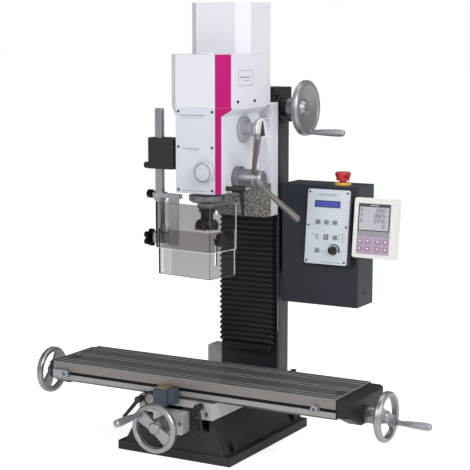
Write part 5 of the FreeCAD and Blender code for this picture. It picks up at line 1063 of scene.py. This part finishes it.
GUARD_EDGES = [
    ("upper_foot_front", (-67, -119.3, 443.2), (84.3, -118.7, 444.2), sheet_edge_highlight, "guard"),
    ("upper_foot_side", (83.7, -119, 443.2), (84.3, -31, 444.2), sheet_edge_highlight, "guard"),
    ("upper_corner", (83.5, -119.4, 444), (84.4, -118.5, 543), sheet_edge_shade, "guard"),
    ("upper_back_edge", (83.4, -31.5, 444), (84.3, -30.6, 543), sheet_edge_highlight, "guard"),
    ("upper_top_front", (-67, -119.3, 542.8), (84.3, -118.6, 543.4), sheet_edge_shade, "guard"),
    ("lower_foot_front", (-63, -115.3, 386.4), (80.3, -114.7, 387.2), sheet_edge_shade, "guard_lower"),
    ("lower_foot_side", (79.7, -115, 386.4), (80.3, -31, 387.2), sheet_edge_shade, "guard_lower"),
    ("lower_corner", (79.5, -115.4, 387), (80.4, -114.5, 485), sheet_edge_shade, "guard_lower"),
    ("lower_back_edge", (79.4, -31.5, 387), (80.3, -30.6, 485), sheet_edge_highlight, "guard_lower"),
]
for edge_name, edge_low, edge_high, edge_finish, edge_body in GUARD_EDGES:
    block(edge_name, edge_low, edge_high, edge_finish, edge_body, "clear_sheet", SWING, EDGE_PLAN_CORNER)
GUARD_SIDE = SWING @ placing((0.084, 0, 0), (0, 1, 0), (1, 0, 0))
dots("guard_button", GUARD_SIDE, [(-99, 529)], 4.0, 2.0, print_white, "guard", "clear_sheet")
print("fittings made")

# %% [markdown]
# ## Sensor lead
# The lead leaves the sensor's left side, bends down and goes into the saddle. It is a spline with a round
# section.

# %% Sensor lead
LEAD = [
    (-0.040, -0.184, 0.141), (-0.054, -0.184, 0.141), (-0.066, -0.185, 0.132), (-0.071, -0.184, 0.117),
    (-0.072, -0.165, 0.1005),
]


def spline_length(curve_object):
    """Length of the evaluated centreline, with the round section switched off for the measurement."""
    thick = curve_object.data.bevel_depth
    curve_object.data.bevel_depth = 0
    bpy.context.view_layer.update()
    line = curve_object.evaluated_get(bpy.context.evaluated_depsgraph_get()).to_mesh()
    points = np.array([vertex.co for vertex in line.vertices])
    curve_object.to_mesh_clear()
    curve_object.data.bevel_depth = thick
    return float(np.linalg.norm(np.diff(points, axis=0), axis=1).sum())


lead_curve = bpy.data.curves.new("sensor_lead_line", "CURVE")
lead_curve.dimensions = "3D"
lead_curve.resolution_u = 24
lead_curve.bevel_depth = 0.002
lead_curve.bevel_resolution = 6
lead_curve.use_fill_caps = True
spline = lead_curve.splines.new("NURBS")
spline.points.add(len(LEAD) - 1)
for point, place in zip(spline.points, LEAD):
    point.co = (*place, 1)
spline.order_u = 3
spline.use_endpoint_u = True
lead_curve.materials.append(lead_rubber)
lead = bpy.data.objects.new("sensor_lead_cord", lead_curve)
bpy.context.scene.collection.objects.link(lead)
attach(lead, "saddle")
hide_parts("sensor_lead")
LEAD_LENGTH = spline_length(lead)
print("lead:", round(LEAD_LENGTH * 1000, 1), "mm")

# %% [markdown]
# ## Floor


# %% Floor
def make_floor():
    """One large quad grid under the machine."""
    along = np.linspace(-FLOOR_HALF, FLOOR_HALF, 9)
    x, y = np.meshgrid(along, along, indexing="ij")
    points = np.stack([x, y, np.full_like(x, -0.0006)], axis=-1)
    row, column = np.meshgrid(np.arange(8), np.arange(8), indexing="ij")
    first = row * 9 + column
    faces = np.stack([first, first + 9, first + 10, first + 1], axis=-1).reshape(-1, 4)
    mesh = bpy.data.meshes.new("floor")
    mesh.from_pydata(points.reshape(-1, 3).tolist(), [], faces.tolist())
    paint = finish("floor_paint", (0.86, 0.86, 0.87), 0.7, vary=0.01, bump=0, specular=0.2)
    nodes, links = paint.node_tree.nodes, paint.node_tree.links
    shader = nodes["Principled BSDF"]
    shader.inputs["Emission Color"].default_value = (1, 1, 1, 1)
    path = nodes.new("ShaderNodeLightPath")
    glow = nodes.new("ShaderNodeMath")
    glow.operation = "MULTIPLY_ADD"
    links.new(path.outputs["Is Camera Ray"], glow.inputs[0])
    glow.inputs[1].default_value = FLOOR_SEEN
    glow.inputs[2].default_value = FLOOR_GLOW
    links.new(glow.outputs[0], shader.inputs["Emission Strength"])
    mesh.materials.append(paint)
    floor = bpy.data.objects.new("floor", mesh)
    bpy.context.scene.collection.objects.link(floor)


make_floor()
